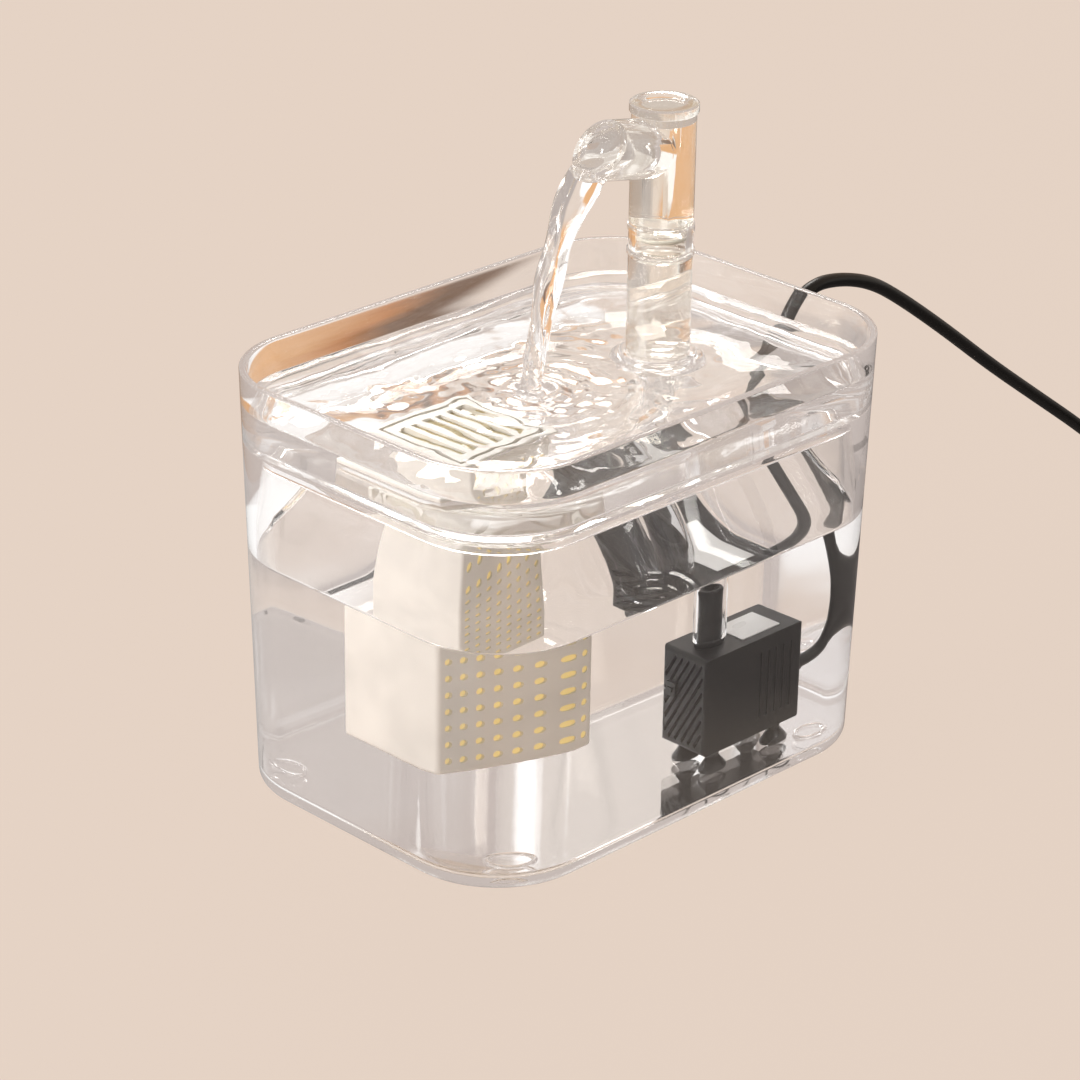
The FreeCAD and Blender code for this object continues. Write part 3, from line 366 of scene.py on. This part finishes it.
def skin(bm, rings, closed):
    # extrudes the first ring through the others; closed joins the last ring to the first
    first = rings[0]
    verts = [bm.verts.new(point) for point in first]
    loop = [bm.edges.new((verts[i - 1], verts[i])) for i in range(len(verts))]
    firstLoop = loop
    for ring in rings[1:]:
        made = bmesh.ops.extrude_edge_only(bm, edges=loop)["geom"]
        newVerts = [item for item in made if isinstance(item, bmesh.types.BMVert)]
        loop = [item for item in made if isinstance(item, bmesh.types.BMEdge)
                and all(vert in newVerts for vert in item.verts)]
        order = {}
        for i, vert in enumerate(verts):
            for edge in vert.link_edges:
                other = edge.other_vert(vert)
                if other in newVerts:
                    order[i] = other
        verts = [order[i] for i in range(len(verts))]
        for vert, point in zip(verts, ring):
            vert.co = point
    if closed:
        bmesh.ops.bridge_loops(bm, edges=firstLoop + loop)
    else:
        bmesh.ops.holes_fill(bm, edges=firstLoop, sides=0)
        bmesh.ops.holes_fill(bm, edges=loop, sides=0)
    bmesh.ops.recalc_face_normals(bm, faces=bm.faces)


def edgeRound(height, inset, radius, top, outer, steps=4):
    # rings that round off an edge of a wall: (height, inset) pairs
    rings = []
    for step in range(steps + 1):
        angle = math.pi / 2 * step / steps
        drop = radius * (1 - math.sin(angle)) if top else radius * (1 - math.sin(angle))
        side = radius * (1 - math.cos(angle))
        sign = -1 if top else 1
        rings.append((height + sign * drop, inset + (side if outer else -side)))
    return rings


tankSet = {"height": 114.2, "wall": 2.6, "floor": 3.5, "foot": 3.0, "rim": 0.5,
           "floorRound": 2.0}


def makeTank():
    bm = bmesh.new()
    height, wall, floor = tankSet["height"], tankSet["wall"], tankSet["floor"]
    foot, rim, inner = tankSet["foot"], tankSet["rim"], tankSet["floorRound"]
    rings = [(0, 40), (0, 15)]
    rings += [(foot - foot * math.cos(angle), foot - foot * math.sin(angle))
              for angle in [math.pi / 2 * step / 6 for step in range(7)]]
    rings += [(height * share, 0) for share in (0.2, 0.4, 0.6, 0.8)]
    rings += [(height - rim + rim * math.sin(angle), rim - rim * math.cos(angle))
              for angle in [math.pi / 2 * step / 4 for step in range(5)]]
    rings += [(height - rim + rim * math.cos(angle), wall - rim + rim * math.sin(angle))
              for angle in [math.pi / 2 * step / 4 for step in range(5)]]
    rings += [(height * share, wall) for share in (0.8, 0.6, 0.4, 0.2)]
    rings += [(floor + inner - inner * math.sin(angle), wall + inner - inner * math.cos(angle))
              for angle in [math.pi / 2 * step / 6 for step in range(7)]]
    rings += [(floor, 15), (floor, 40)]
    skin(bm, [outlineRing(z, inset) for z, inset in rings], closed=False)
    piece = addPiece("clearTankShell", bm, "tank", "root", 50)
    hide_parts("tank")
    return piece


makeTank()

traySet = {"low": 109.0, "seam": 114.2, "top": 136.5, "wall": 2.4, "skirtInset": 3.0,
           "skirtWall": 2.0, "under": 111.0, "floor": 113.5, "ledge": 116.0, "rim": 0.7}


def makeTray():
    bm = bmesh.new()
    low, seam, top = traySet["low"], traySet["seam"], traySet["top"]
    wall, skirt, rim = traySet["wall"], traySet["skirtInset"], traySet["rim"]
    inside = skirt + traySet["skirtWall"]
    quarter = [math.pi / 2 * step / 4 for step in range(5)]
    rings = [(traySet["under"], 40), (traySet["under"], inside), (low + 0.7, inside)]
    rings += [(low + 0.7 - 0.7 * math.sin(angle), inside - 0.7 + 0.7 * math.cos(angle))
              for angle in quarter[1:]]
    rings += [(low + 0.7 - 0.7 * math.cos(angle), skirt + 0.7 - 0.7 * math.sin(angle))
              for angle in quarter]
    rings += [(seam, skirt), (seam, 0.15), (seam + 0.15, 0)]
    rings += [(seam + (top - seam) * share, 0) for share in (0.3, 0.6)]
    rings += [(top - rim + rim * math.sin(angle), rim - rim * math.cos(angle)) for angle in quarter]
    rings += [(top - rim + rim * math.cos(angle), wall - rim + rim * math.sin(angle))
              for angle in quarter]
    ledge, floor = traySet["ledge"], traySet["floor"]
    rings += [(seam + (top - seam) * share, wall) for share in (0.6, 0.3)]
    rings += [(ledge, wall), (ledge, inside - 0.5), (ledge - 0.5, inside), (floor + 0.5, inside),
              (floor, inside + 0.5), (floor, 40)]
    skin(bm, [outlineRing(z, inset) for z, inset in rings], closed=False)
    return bm


tapSet = {"x": 42.0, "radius": 10.0, "bore": 7.8, "foot": 113.5, "columnTop": 157.5,
          "headBottom": 157.8, "headTop": 201.2, "spoutZ": 189.4, "spoutRadius": 9.2,
          "spoutBore": 7.4, "reach": 33.0, "slant": 9.0, "rise": 11.0, "collar": 15.0, "collarTop": 121.5,
          "portRadius": 4.7, "portBore": 3.2, "portLow": 98.0}


def solidFrom(bm, name):
    mesh = bpy.data.meshes.new(name)
    bm.to_mesh(mesh)
    bm.free()
    thing = bpy.data.objects.new(name, mesh)
    bpy.context.scene.collection.objects.link(thing)
    return thing


def combine(bm, tools):
    # booleans in order: tools is a list of (operation, bmesh); gives back one bmesh
    base = solidFrom(bm, "base")
    for operation, tool in tools:
        cutter = solidFrom(tool, "tool")
        change = base.modifiers.new("change", "BOOLEAN")
        change.operation = operation
        change.solver = "EXACT"
        change.object = cutter
        graph = bpy.context.evaluated_depsgraph_get()
        mesh = bpy.data.meshes.new_from_object(base.evaluated_get(graph))
        base.modifiers.clear()
        base.data = mesh
        bpy.data.objects.remove(cutter)
    result = bmesh.new()
    result.from_mesh(base.data)
    bpy.data.objects.remove(base)
    return result


def rodAlongX(x0, x1, z, radius, slant=0, steps=128):
    # a round rod from x0 to x1; slant tips the end at x0, top back and bottom forward
    bm = bmesh.new()
    turn = Matrix.Rotation(math.pi / 2, 4, "Y")
    bmesh.ops.create_cone(bm, cap_ends=True, segments=steps, radius1=radius * mm,
                          radius2=radius * mm, depth=(x1 - x0) * mm, matrix=turn)
    bmesh.ops.translate(bm, verts=bm.verts, vec=((x0 + x1) / 2 * mm, 0, z * mm))
    middle = (x0 + x1) / 2 * mm
    for vert in bm.verts:
        if vert.co.x < middle:
            vert.co.x += (vert.co.z - z * mm) / (radius * mm) * slant * mm
    return bm


def spoutRod(reach, radius, slant):
    # a rod from the tap's axis to the mouth, leaning up as the spout does
    bm = rodAlongX(-reach + slant / 2, 0, 0, radius, slant / 2)
    turn = Matrix.Rotation(math.radians(tapSet["rise"]), 4, "Y")
    place = Matrix.Translation(Vector((tapSet["x"], 0, tapSet["spoutZ"])) * mm)
    bmesh.ops.transform(bm, matrix=place @ turn, verts=bm.verts)
    return bm


def upright(radius, low, high, x=0.0, steps=128):
    return lathe([(0, low), (radius, low), (radius, high), (0, high)], (x, 0), steps)


def makeTrayWithSocket():
    x = tapSet["x"]
    bm = makeTray()
    floor, under = traySet["floor"], traySet["under"]
    collar = lathe([(tapSet["bore"], floor - 1), (tapSet["collar"], floor - 1),
                    (tapSet["collar"], floor + 3.2), (tapSet["collar"] - 0.8, floor + 4),
                    (12.6, floor + 4.4), (12.3, tapSet["collarTop"] - 0.6),
                    (11.7, tapSet["collarTop"]), (10.3, tapSet["collarTop"]), (10.3, floor)], (x, 0))
    port = lathe([(tapSet["portBore"], under + 1), (tapSet["portRadius"], under + 1),
                  (tapSet["portRadius"], tapSet["portLow"]), (tapSet["portBore"], tapSet["portLow"])],
                 (x, 0), 64)
    hole = bmesh.new()
    bmesh.ops.create_cube(hole, size=1)
    bmesh.ops.scale(hole, verts=hole.verts, vec=(37.8 * mm, 37.8 * mm, 20 * mm))
    bmesh.ops.translate(hole, verts=hole.verts, vec=(-41.5 * mm, 0, floor * mm))
    way = upright(tapSet["portBore"], under - 2, floor + 2, x, 64)
    bm = combine(bm, [("UNION", collar), ("UNION", port), ("DIFFERENCE", hole), ("DIFFERENCE", way)])
    piece = addPiece("clearTrayShell", bm, "tray", "tray", 60)
    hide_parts("tray")


makeTrayWithSocket()


def makeTap():
    x = tapSet["x"]
    r, b = tapSet["radius"], tapSet["bore"]
    top = tapSet["columnTop"]
    column = lathe([(b, 113.5), (r - 0.5, 113.5), (r, 114), (r, top - 1.8), (r + 0.5, top - 1.4),
                    (r + 0.5, top - 0.3), (r + 0.2, top), (7.5, top), (7.5, top + 7.6),
                    (7.0, top + 8.2), (5.9, top + 8.2), (5.9, top - 1), (b, top - 3)], (x, 0))
    piece = addPiece("clearTapColumn", column, "tap", "column")
    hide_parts("tap_column")
    low, high = tapSet["headBottom"], tapSet["headTop"]
    outside = lathe([(0, low), (r, low), (r, low + 5.4), (r + 0.4, low + 5.8), (r + 0.4, low + 7.6),
                     (r, low + 8), (r, high), (0, high)], (x, 0))
    spout = spoutRod(tapSet["reach"], tapSet["spoutRadius"], tapSet["slant"])
    bore = upright(b, low - 1, high + 1, x)
    spoutWay = spoutRod(tapSet["reach"] + 12, tapSet["spoutBore"], tapSet["slant"])
    head = combine(outside, [("UNION", spout), ("DIFFERENCE", bore), ("DIFFERENCE", spoutWay)])
    piece = addPiece("clearTapHead", head, "tap", "head")
    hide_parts("tap_head")
    cap = lathe([(0, high - 3), (b, high - 3), (b, high), (10.5, high), (10.7, high + 0.3),
                 (10.7, high + 2.5), (10.2, high + 3.0), (7.2, high + 3.0), (6.6, high + 2.5),
                 (6.3, high + 1.9), (0, high + 1.9)], (x, 0))
    piece = addPiece("clearTapCap", cap, "tap", "head")
    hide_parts("tap_cap")


makeTap()
print("clear shells made")


# Water

waterSet = {"tankLevel": 77.5, "trayLevel": 124.8, "overlap": 0.3, "foot": (-12.0, 0.0)}


def makeTankWater():
    bm = bmesh.new()
    wall, floor = tankSet["wall"], tankSet["floor"]
    level, over, inner = waterSet["tankLevel"], waterSet["overlap"], tankSet["floorRound"]
    inset = wall - over
    rings = [(floor - over, 40), (floor - over, 15)]
    rings += [(floor - over + inner - inner * math.cos(angle), inset + inner - inner * math.sin(angle))
              for angle in [math.pi / 2 * step / 6 for step in range(7)]]
    rings += [(floor + (level - floor) * share, inset) for share in (0.3, 0.6, 0.9)]
    rings += [(level + 0.8, inset), (level + 0.25, wall + 0.5), (level, wall + 1.6), (level, wall + 1.9),
              (level, wall + 2.2), (level, 15),
              (level, 40)]
    skin(bm, [outlineRing(z, inset) for z, inset in rings], closed=False)
    piece = addPiece("tankWater", bm, "water", "root", 50)
    return piece


def rippleHeight(x, y):
    # millimetres above the level, at a place in millimetres
    footX, footY = waterSet["foot"]
    far = math.hypot(x - footX, (y - footY) * 1.1)
    rings = 0.45 * math.exp(-far / 24) * math.cos(far * 0.8 - 0.6)
    dip = -1.0 * math.exp(-(far / 4.5) ** 2)
    splash = 1.5 * math.exp(-far / 15) * noise.noise(Vector((x * 0.21, y * 0.21, 5.3)))
    broad = 0.95 * noise.noise(Vector((x * 0.035, y * 0.05, 3.1)))
    middle = 0.42 * noise.noise(Vector((x * 0.085, y * 0.12, 9.4)))
    fine = 0.07 * noise.noise(Vector((x * 0.3, y * 0.3, 7.7)))
    return rings + dip + splash + broad + middle + fine


def makeTrayWater():
    bm = bmesh.new()
    level, over, floor = waterSet["trayLevel"], waterSet["overlap"], traySet["floor"]
    grow = level * math.tan(math.radians(outlineSet["draft"])) - traySet["wall"] + over
    halfX, halfY = outlineSet["baseLength"] / 2 + grow, outlineSet["baseWidth"] / 2 + grow
    radius = outlineSet["corner"] - traySet["wall"] + over
    bmesh.ops.create_grid(bm, x_segments=150, y_segments=110, size=1)
    for vert in bm.verts:
        u, v = vert.co.x, vert.co.y
        x, y = roundedPoint(u, v, halfX, halfY, radius)
        edge = 1 - max(abs(u), abs(v))
        fade = min(1.0, edge / 0.06)
        rise = rippleHeight(x, y) * fade + 0.9 * math.exp(-edge * halfY / 1.2)
        vert.co = Vector((x, y, level + rise)) * mm
    rim = [edge for edge in bm.edges if edge.is_boundary]
    ledge, inside = traySet["ledge"] - over, traySet["skirtInset"] + traySet["skirtWall"] - over
    wallStep = inside - traySet["wall"] + over
    steps = [(ledge, 0.0), (ledge, wallStep), (floor - over, wallStep)]
    loop = rim
    for z, inward in steps:
        made = bmesh.ops.extrude_edge_only(bm, edges=loop)["geom"]
        verts = [item for item in made if isinstance(item, bmesh.types.BMVert)]
        members = set(verts)
        loop = [item for item in made if isinstance(item, bmesh.types.BMEdge)
                and set(item.verts) <= members]
        for vert in verts:
            x, y = vert.co.x, vert.co.y
            vert.co.z = z * mm
            if inward and abs(vert.co.z - ledge * mm) < 1e-9:
                reach = math.hypot(x / halfX, y / halfY)
                vert.co.x -= math.copysign(inward * mm * abs(x) / (halfX * mm) / max(reach / mm, 1e-6) * 1.0, x) if reach else 0
                vert.co.y -= math.copysign(inward * mm * abs(y) / (halfY * mm) / max(reach / mm, 1e-6) * 1.0, y) if reach else 0
    bmesh.ops.holes_fill(bm, edges=loop, sides=0)
    bmesh.ops.recalc_face_normals(bm, faces=bm.faces)
    return addPiece("trayWater", bm, "flow", "tray", 60)


streamSet = {
    "path": [(9.6, 189.3), (3.9, 179.9), (-1.7, 168.1), (-5.7, 158.9), (-8.9, 149.6), (-11.6, 138.1), (-13.1, 128.8), (-13.9, 123.8)],
    "wide": [5.9, 5.2, 4.6, 4.1, 3.6, 3.2, 3.1, 3.6],
    "deep": [5.2, 4.3, 3.7, 3.3, 3.0, 2.8, 2.8, 3.4],
}


def along(values, share):
    # the value at a share of the way through a list, eased between its entries
    spot = min(share * (len(values) - 1), len(values) - 1.0001)
    i = int(spot)
    part = spot - i
    return values[i] * (1 - part) + values[i + 1] * part


def streamPath(share):
    # centre of the stream from the spout's lip, 0, down to the tray, 1
    x = along([place[0] for place in streamSet["path"]], share)
    z = along([place[1] for place in streamSet["path"]], share)
    return Vector((x, 0.7 * math.sin(share * 5), z))


def makeStream():
    bm = bmesh.new()
    count, around = 60, 40
    rings = []
    for step in range(count + 1):
        share = step / count
        centre = streamPath(share)
        ahead = streamPath(min(share + 0.01, 1)) - streamPath(max(share - 0.01, 0))
        ahead.normalize()
        side = Vector((0, 1, 0))
        front = ahead.cross(side)
        wide = along(streamSet["wide"], share) + 0.25 * math.sin(share * 17)
        deep = along(streamSet["deep"], share) + 0.25 * math.sin(share * 13 + 1)
        ring = []
        for i in range(around):
            angle = math.tau * i / around
            lobe = 1 + 0.16 * math.cos(3 * angle + share * 9) + 0.08 * math.sin(5 * angle - share * 14)
            flare = 1 + 0.5 * max(0, share - 0.95) / 0.05
            ring.append((centre + side * wide * lobe * flare * math.cos(angle)
                         + front * deep * lobe * flare * math.sin(angle)) * mm)
        rings.append(ring)
    skin(bm, rings, closed=False)
    return bm


def makeTapWater():
    x, b, over = tapSet["x"], tapSet["bore"], 0.15
    low = upright(b + over, 113.7, tapSet["columnTop"] - 2, x)
    neck = upright(5.9 + over, tapSet["columnTop"] - 3.5, tapSet["columnTop"] + 8.4, x)
    addPiece("waterInColumn", combine(low, [("UNION", neck)]), "flow", "column")
    column = upright(b + over, tapSet["columnTop"] + 8.0, tapSet["headTop"] - 3, x)
    channel = spoutRod(tapSet["reach"] - 1.5, tapSet["spoutBore"] + over, tapSet["slant"])
    water = combine(column, [("UNION", channel), ("UNION", makeStream())])
    addPiece("waterStream", water, "flow", "head", 50)


makeTankWater()
makeTrayWater()
makeTapWater()
print("water made")


# Filter box, pump pipe and the rings under the tank

filterSet = {"x": -41.5, "half": 18.5, "low": 24.0, "high": 113.5, "lip": 1.5, "wall": 0.7,
             "columns": 8, "rows": 15, "pitchX": 4.4, "pitchZ": 5.5, "first": 28.5, "hole": 1.15}


def block(centre, size, edge=0.0, segments=4):
    bm = bmesh.new()
    bmesh.ops.create_cube(bm, size=1)
    bmesh.ops.scale(bm, verts=bm.verts, vec=[length * mm for length in size])
    bmesh.ops.translate(bm, verts=bm.verts, vec=[value * mm for value in centre])
    if edge:
        bmesh.ops.bevel(bm, geom=bm.edges, affect="EDGES", offset=edge * mm, segments=segments,
                        profile=0.5, material=-1)
    return bm


def makeFilterBox():
    f = filterSet
    x, wide = f["x"], 2 * f["half"]
    middle, height = (f["low"] + f["high"]) / 2, f["high"] - f["low"]
    box = block((x, 0, middle), (wide, wide, height), 1.2)
    lip = block((x, 0, f["high"] + 0.75), (wide + 2 * f["lip"], wide + 2 * f["lip"], 1.5), 0.5)
    inner = wide - 2 * f["wall"]
    hollow = block((x, 0, middle + f["wall"] + 5), (inner, inner, height + 10))
    holes = bmesh.new()
    turn = Matrix.Rotation(math.pi / 2, 4, "X")
    for column in range(f["columns"]):
        for row in range(f["rows"]):
            spot = (x + (column - (f["columns"] - 1) / 2) * f["pitchX"], 0,
                    f["first"] + row * f["pitchZ"])
            bmesh.ops.create_cone(holes, cap_ends=True, segments=16, radius1=f["hole"] * mm,
                                  radius2=f["hole"] * mm, depth=(wide + 4) * mm,
                                  matrix=Matrix.Translation(Vector(spot) * mm) @ turn)
    bm = combine(box, [("UNION", lip), ("DIFFERENCE", hollow), ("DIFFERENCE", holes)])
    # a sponge-coloured lining just behind the holes stands in for the filling; its painted glow keeps the holes
    # out of the shade they would fall in
    liner = wide - 2 * f["wall"] - 0.1
    sides = combine(block((x, 0, middle - 1), (liner, liner, height - 6)),
                    [("DIFFERENCE", block((x, 0, middle), (liner - 0.4, liner - 0.4, height + 9)))])
    addPiece("glowingFilterLining", sides, "liner", "filter")
    piece = addPiece("filterShell", bm, "white", "filter")
    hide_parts("filter_box")


pumpSet = {"x": 24.7, "y": -24.0, "low": 43.5, "pipeTop": 62.3, "pipe": 4.6, "bore": 3.2}


def makePipe():
    p = pumpSet
    pipe = lathe([(p["bore"], p["low"] - 0.2), (p["pipe"] + 1.2, p["low"] - 0.2),
                  (p["pipe"] + 1.2, p["low"] + 1.6), (p["pipe"], p["low"] + 2.2),
                  (p["pipe"], p["pipeTop"] - 0.5), (p["pipe"] - 0.5, p["pipeTop"]),
                  (p["bore"], p["pipeTop"])], (p["x"], p["y"]), 64)
    addPiece("pumpPipe", pipe, "black", "root")


ringSet = {"places": [(-62, -42), (62, -42), (-62, 42), (62, 42)], "radius": 6.0, "thick": 0.8}


def makeRings():
    r = ringSet
    for i, place in enumerate(r["places"]):
        profile = [(r["radius"] + r["thick"] * math.cos(angle), tankSet["floor"] + 0.2
                    + r["thick"] * 0.8 * math.sin(angle))
                   for angle in [math.tau * step / 16 for step in range(16)]]
        addPiece(f"floorRing{i + 1}", lathe(profile, place, 64), "tank", "root")


makeFilterBox()
makePipe()
makeRings()
print("filter, pipe and rings made")


# Cord

cordSet = {
    "diameter": 4.5,
    "length": 1.46,
    "coilTurns": 3, "coilInner": 17.5, "coilPitch": 5.0, "coilSteps": 16,
    "route": [
        (67.0, -24.0, 23.0), (75.5, -24.0, 23.0), (79.6, -27.4, 32.0), (80.0, -29.6, 45.0),
        (79.8, -25.6, 57.0), (79.2, -19.0, 68.0), (78.4, -12.6, 79.0), (80.6, -8.4, 93.0),
        (91.2, -7.2, 111.6), (95.4, -7.0, 124.4), (105.0, -7.4, 130.8), (119.0, -6.8, 129.2),
        (134.0, -7.4, 124.4), (150.0, -7.0, 114.4), (173.0, -7.6, 97.6), (200.0, -6.8, 77.2),
        (228.0, -6.0, 57.4), (254.0, -4.8, 39.2), (276.0, -3.6, 22.6), (294.0, -2.8, 9.4),
        (311.0, -2.6, 2.35), (327.0, -2.6, 2.35)],
}


def coilPoints():
    # spirals in on the lower layer, climbs in half a turn and spirals out on the upper one
    startX, startY, low = cordSet["route"][-1]
    startX += cordSet["diameter"]
    turns, steps = cordSet["coilTurns"], cordSet["coilSteps"]
    inner, pitch = cordSet["coilInner"], cordSet["coilPitch"]
    outer = inner + pitch * turns
    centreX, centreY = startX, startY - outer + pitch / 8
    stretch = 1 / math.cos(math.pi / steps) ** 0.5
    points = []
    total = int((2 * turns + 0.5) * steps)
    for i in range(1, total):
        turn = i / steps
        if turn < turns:
            radius, z = outer - pitch * turn, low
        elif turn < turns + 0.5:
            radius, z = inner, low + pitch * (turn - turns) / 0.5
        else:
            radius, z = inner + pitch * (turn - turns - 0.5), low + pitch
        angle = math.pi / 2 - math.tau * turn
        points.append((centreX + radius * stretch * math.cos(angle),
                       centreY + radius * stretch * math.sin(angle), z))
    return points, (centreX, centreY - outer + pitch / 8, low + pitch)


def makeCord():
    coil, end = coilPoints()
    x, y, z = end
    d = cordSet["diameter"]
    tail = [(x - d, y, z), (x - d - 12, y, z), (x - d - 26, y + 0.6, 4.0),
            (x - d - 38, y + 0.6, 4.0)]
    route = cordSet["route"] + coil + [end] + tail
    curve = bpy.data.curves.new("cord", "CURVE")
    curve.dimensions = "3D"
    spline = curve.splines.new("NURBS")
    spline.points.add(len(route) - 1)
    for point, place in zip(spline.points, route):
        point.co = (*(Vector(place) * mm), 1)
    spline.order_u = 3
    spline.use_endpoint_u = True
    spline.resolution_u = 8
    curve.bevel_depth = d / 2 * mm
    curve.bevel_resolution = 6
    curve.use_fill_caps = True
    cord = bpy.data.objects.new("cord", curve)
    cord.data.materials.append(finishes["cord"])
    bpy.context.scene.collection.objects.link(cord)
    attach(cord, "root")
    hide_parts("cord_lead", "cord_coil", "cord_tail")


makeCord()
print("cord made")


# Floor, world and lamps

studioSet = {
    "backdrop": colour(228, 210, 196), "floorGlow": 0.97, "drop": 0.4,
    # wood, grey and white: colours of painted reflections that the floor shows only to rays through or off the
    # clear plastic
    "woodReflection": [(0.0, colour(234, 178, 122)[:3]), (0.3, colour(224, 172, 124)[:3]),
             (0.55, colour(190, 124, 68)[:3]), (0.8, colour(112, 78, 50)[:3])],
    "greyReflection": colour(178, 166, 160), "white": (1.15, 1.13, 1.11, 1),
}


def makeFloor():
    bm = bmesh.new()
    bmesh.ops.create_grid(bm, x_segments=1, y_segments=1, size=6)
    bmesh.ops.translate(bm, verts=bm.verts, vec=(0, 0, -studioSet["drop"] * mm))
    mesh = bpy.data.meshes.new("floor")
    bm.to_mesh(mesh)
    bm.free()
    floor = bpy.data.objects.new("floor", mesh)
    bpy.context.scene.collection.objects.link(floor)
    material, graph = newMaterial("floorPaperWithPaintedRoom")
    spot = graph.add("ShaderNodeTexCoord", output="Object")
    x = graph.add("ShaderNodeSeparateXYZ", None, {"Vector": spot}, 0)
    y = graph.add("ShaderNodeSeparateXYZ", None, {"Vector": spot}, 1)
    mottle = graph.noise(9, 4, (1, 2.5, 1))
    fine = graph.noise(40, 4)
    # painted reflections of the room that the clear walls show: a wooden patch, a grey side and a white side, in
    # the floor's glow for rays through or off the plastic
    far = (x + y).between(0.6, 0.66)
    woodReflection = graph.add("ShaderNodeValToRGB", {"stops": studioSet["woodReflection"]},
                     {"Fac": (x - far * 0.3 - 0.09) * 6.8 + (mottle - 0.5) * 0.5})
    start = 0.288 - x.between(0.05, 0.09) * 0.056
    woodReflectionMask = x.between(-0.36, -0.3) * (1 - (x - far * 0.16).between(0.225, 0.26)) * (y - start).between(0, 0.012)
    woodReflectionMask = woodReflectionMask * (1 - y.between(0.8, 0.9))
    greyReflection = (x - y + (mottle - 0.5) * 0.12).between(0.12, 0.2)
    white = (y - x + (mottle - 0.5) * 0.12).between(0.04, 0.13)
    scene = graph.blend(greyReflection, studioSet["backdrop"], studioSet["greyReflection"])
    scene = graph.blend(white, scene, studioSet["white"])
    scene = graph.blend(woodReflectionMask, scene, woodReflection)
    scene = graph.blend(fine * 0.12, scene, (1, 1, 1, 1))
    paper = graph.add("ShaderNodeBsdfDiffuse", None, {"Color": studioSet["backdrop"]})
    flat = graph.add("ShaderNodeEmission", None, {"Color": studioSet["backdrop"], "Strength": 1.0})
    # rays through the clear plastic see the painted room at full strength, rays reflected off it at 0.35
    inside = graph.add("ShaderNodeEmission", None, {"Color": scene, "Strength": 1.0})
    mirror = graph.add("ShaderNodeEmission", None, {"Color": scene, "Strength": 0.35})
    seen = graph.mix(rayKind(graph, "Camera") * studioSet["floorGlow"], paper, flat)
    seen = graph.mix(rayKind(graph, "Glossy"), seen, mirror)
    graph.finish(graph.mix(rayKind(graph, "Transmission"), seen, inside))
    floor.data.materials.append(material)


def makeWorld():
    world = bpy.data.worlds.new("studio")
    bpy.context.scene.world = world
    world.use_nodes = True
    graph = Graph(world.node_tree)
    spot = graph.add("ShaderNodeTexCoord", output="Generated")
    x = graph.add("ShaderNodeSeparateXYZ", None, {"Vector": spot}, 0)
    y = graph.add("ShaderNodeSeparateXYZ", None, {"Vector": spot}, 1)
    cloud = graph.add("ShaderNodeTexNoise", None, {"Vector": spot, "Scale": 7.0, "Detail": 3.0})
    patch = graph.add("ShaderNodeTexNoise", None, {"Vector": spot, "Scale": 3.1, "Detail": 2.0})
    bright = cloud.between(0.5, 0.64)
    side = (x - y).between(0.55, 1.1)
    inside = graph.blend(bright, colour(236, 227, 219), (1.6, 1.57, 1.54, 1))
    inside = graph.blend(side * 0.6, inside, colour(206, 196, 189))
    inside = graph.blend((y - x).between(0.5, 1.0), inside, (1.3, 1.3, 1.3, 1))
    sheen = graph.blend(patch.between(0.42, 0.56), colour(196, 150, 112), colour(236, 226, 214))
    sheen = graph.blend(cloud.between(0.56, 0.64), sheen, (1.2, 1.17, 1.12, 1))
    seen = graph.add("ShaderNodeBackground", None, {"Color": studioSet["backdrop"], "Strength": 1.0})
    light = graph.add("ShaderNodeBackground", None, {"Color": (1, 0.95, 0.9, 1), "Strength": 0.45})
    through = graph.add("ShaderNodeBackground", None, {"Color": inside, "Strength": 1.0})
    mirror = graph.add("ShaderNodeBackground", None, {"Color": sheen, "Strength": 0.85})
    shown = graph.mix(rayKind(graph, "Camera"), light, seen)
    shown = graph.mix(rayKind(graph, "Glossy"), shown, mirror)
    shown = graph.mix(rayKind(graph, "Transmission"), shown, through)
    graph.finish(shown, "ShaderNodeOutputWorld")


lampSet = {
    "key": {"place": (-1.0, 0.35, 0.8), "size": 0.5, "power": 14, "colour": (1, 0.98, 0.96)},
    "back": {"place": (0.6, 0.7, 1.0), "size": 0.5, "power": 9, "colour": (1, 0.97, 0.93)},
    "front": {"place": (0.1, -1.1, 0.7), "size": 0.6, "power": 1.5, "colour": (1, 0.9, 0.78)},
}


def makeLamps():
    for name, lamp in lampSet.items():
        data = bpy.data.lights.new(name, "AREA")
        data.shape = "SQUARE"
        data.size = lamp["size"]
        data.energy = lamp["power"]
        data.color = lamp["colour"]
        thing = bpy.data.objects.new(name, data)
        aim = Vector((0, 0, 0.08)) - Vector(lamp["place"])
        thing.location = lamp["place"]
        thing.rotation_euler = aim.to_track_quat("-Z", "Y").to_euler()
        bpy.context.scene.collection.objects.link(thing)


makeFloor()
makeWorld()
makeLamps()
bpy.context.scene.view_settings.view_transform = "Standard"
bpy.context.scene.cycles.max_bounces = 32
bpy.context.scene.cycles.transmission_bounces = 28
bpy.context.scene.cycles.glossy_bounces = 24
bpy.context.scene.cycles.transparent_max_bounces = 32
print("studio made")
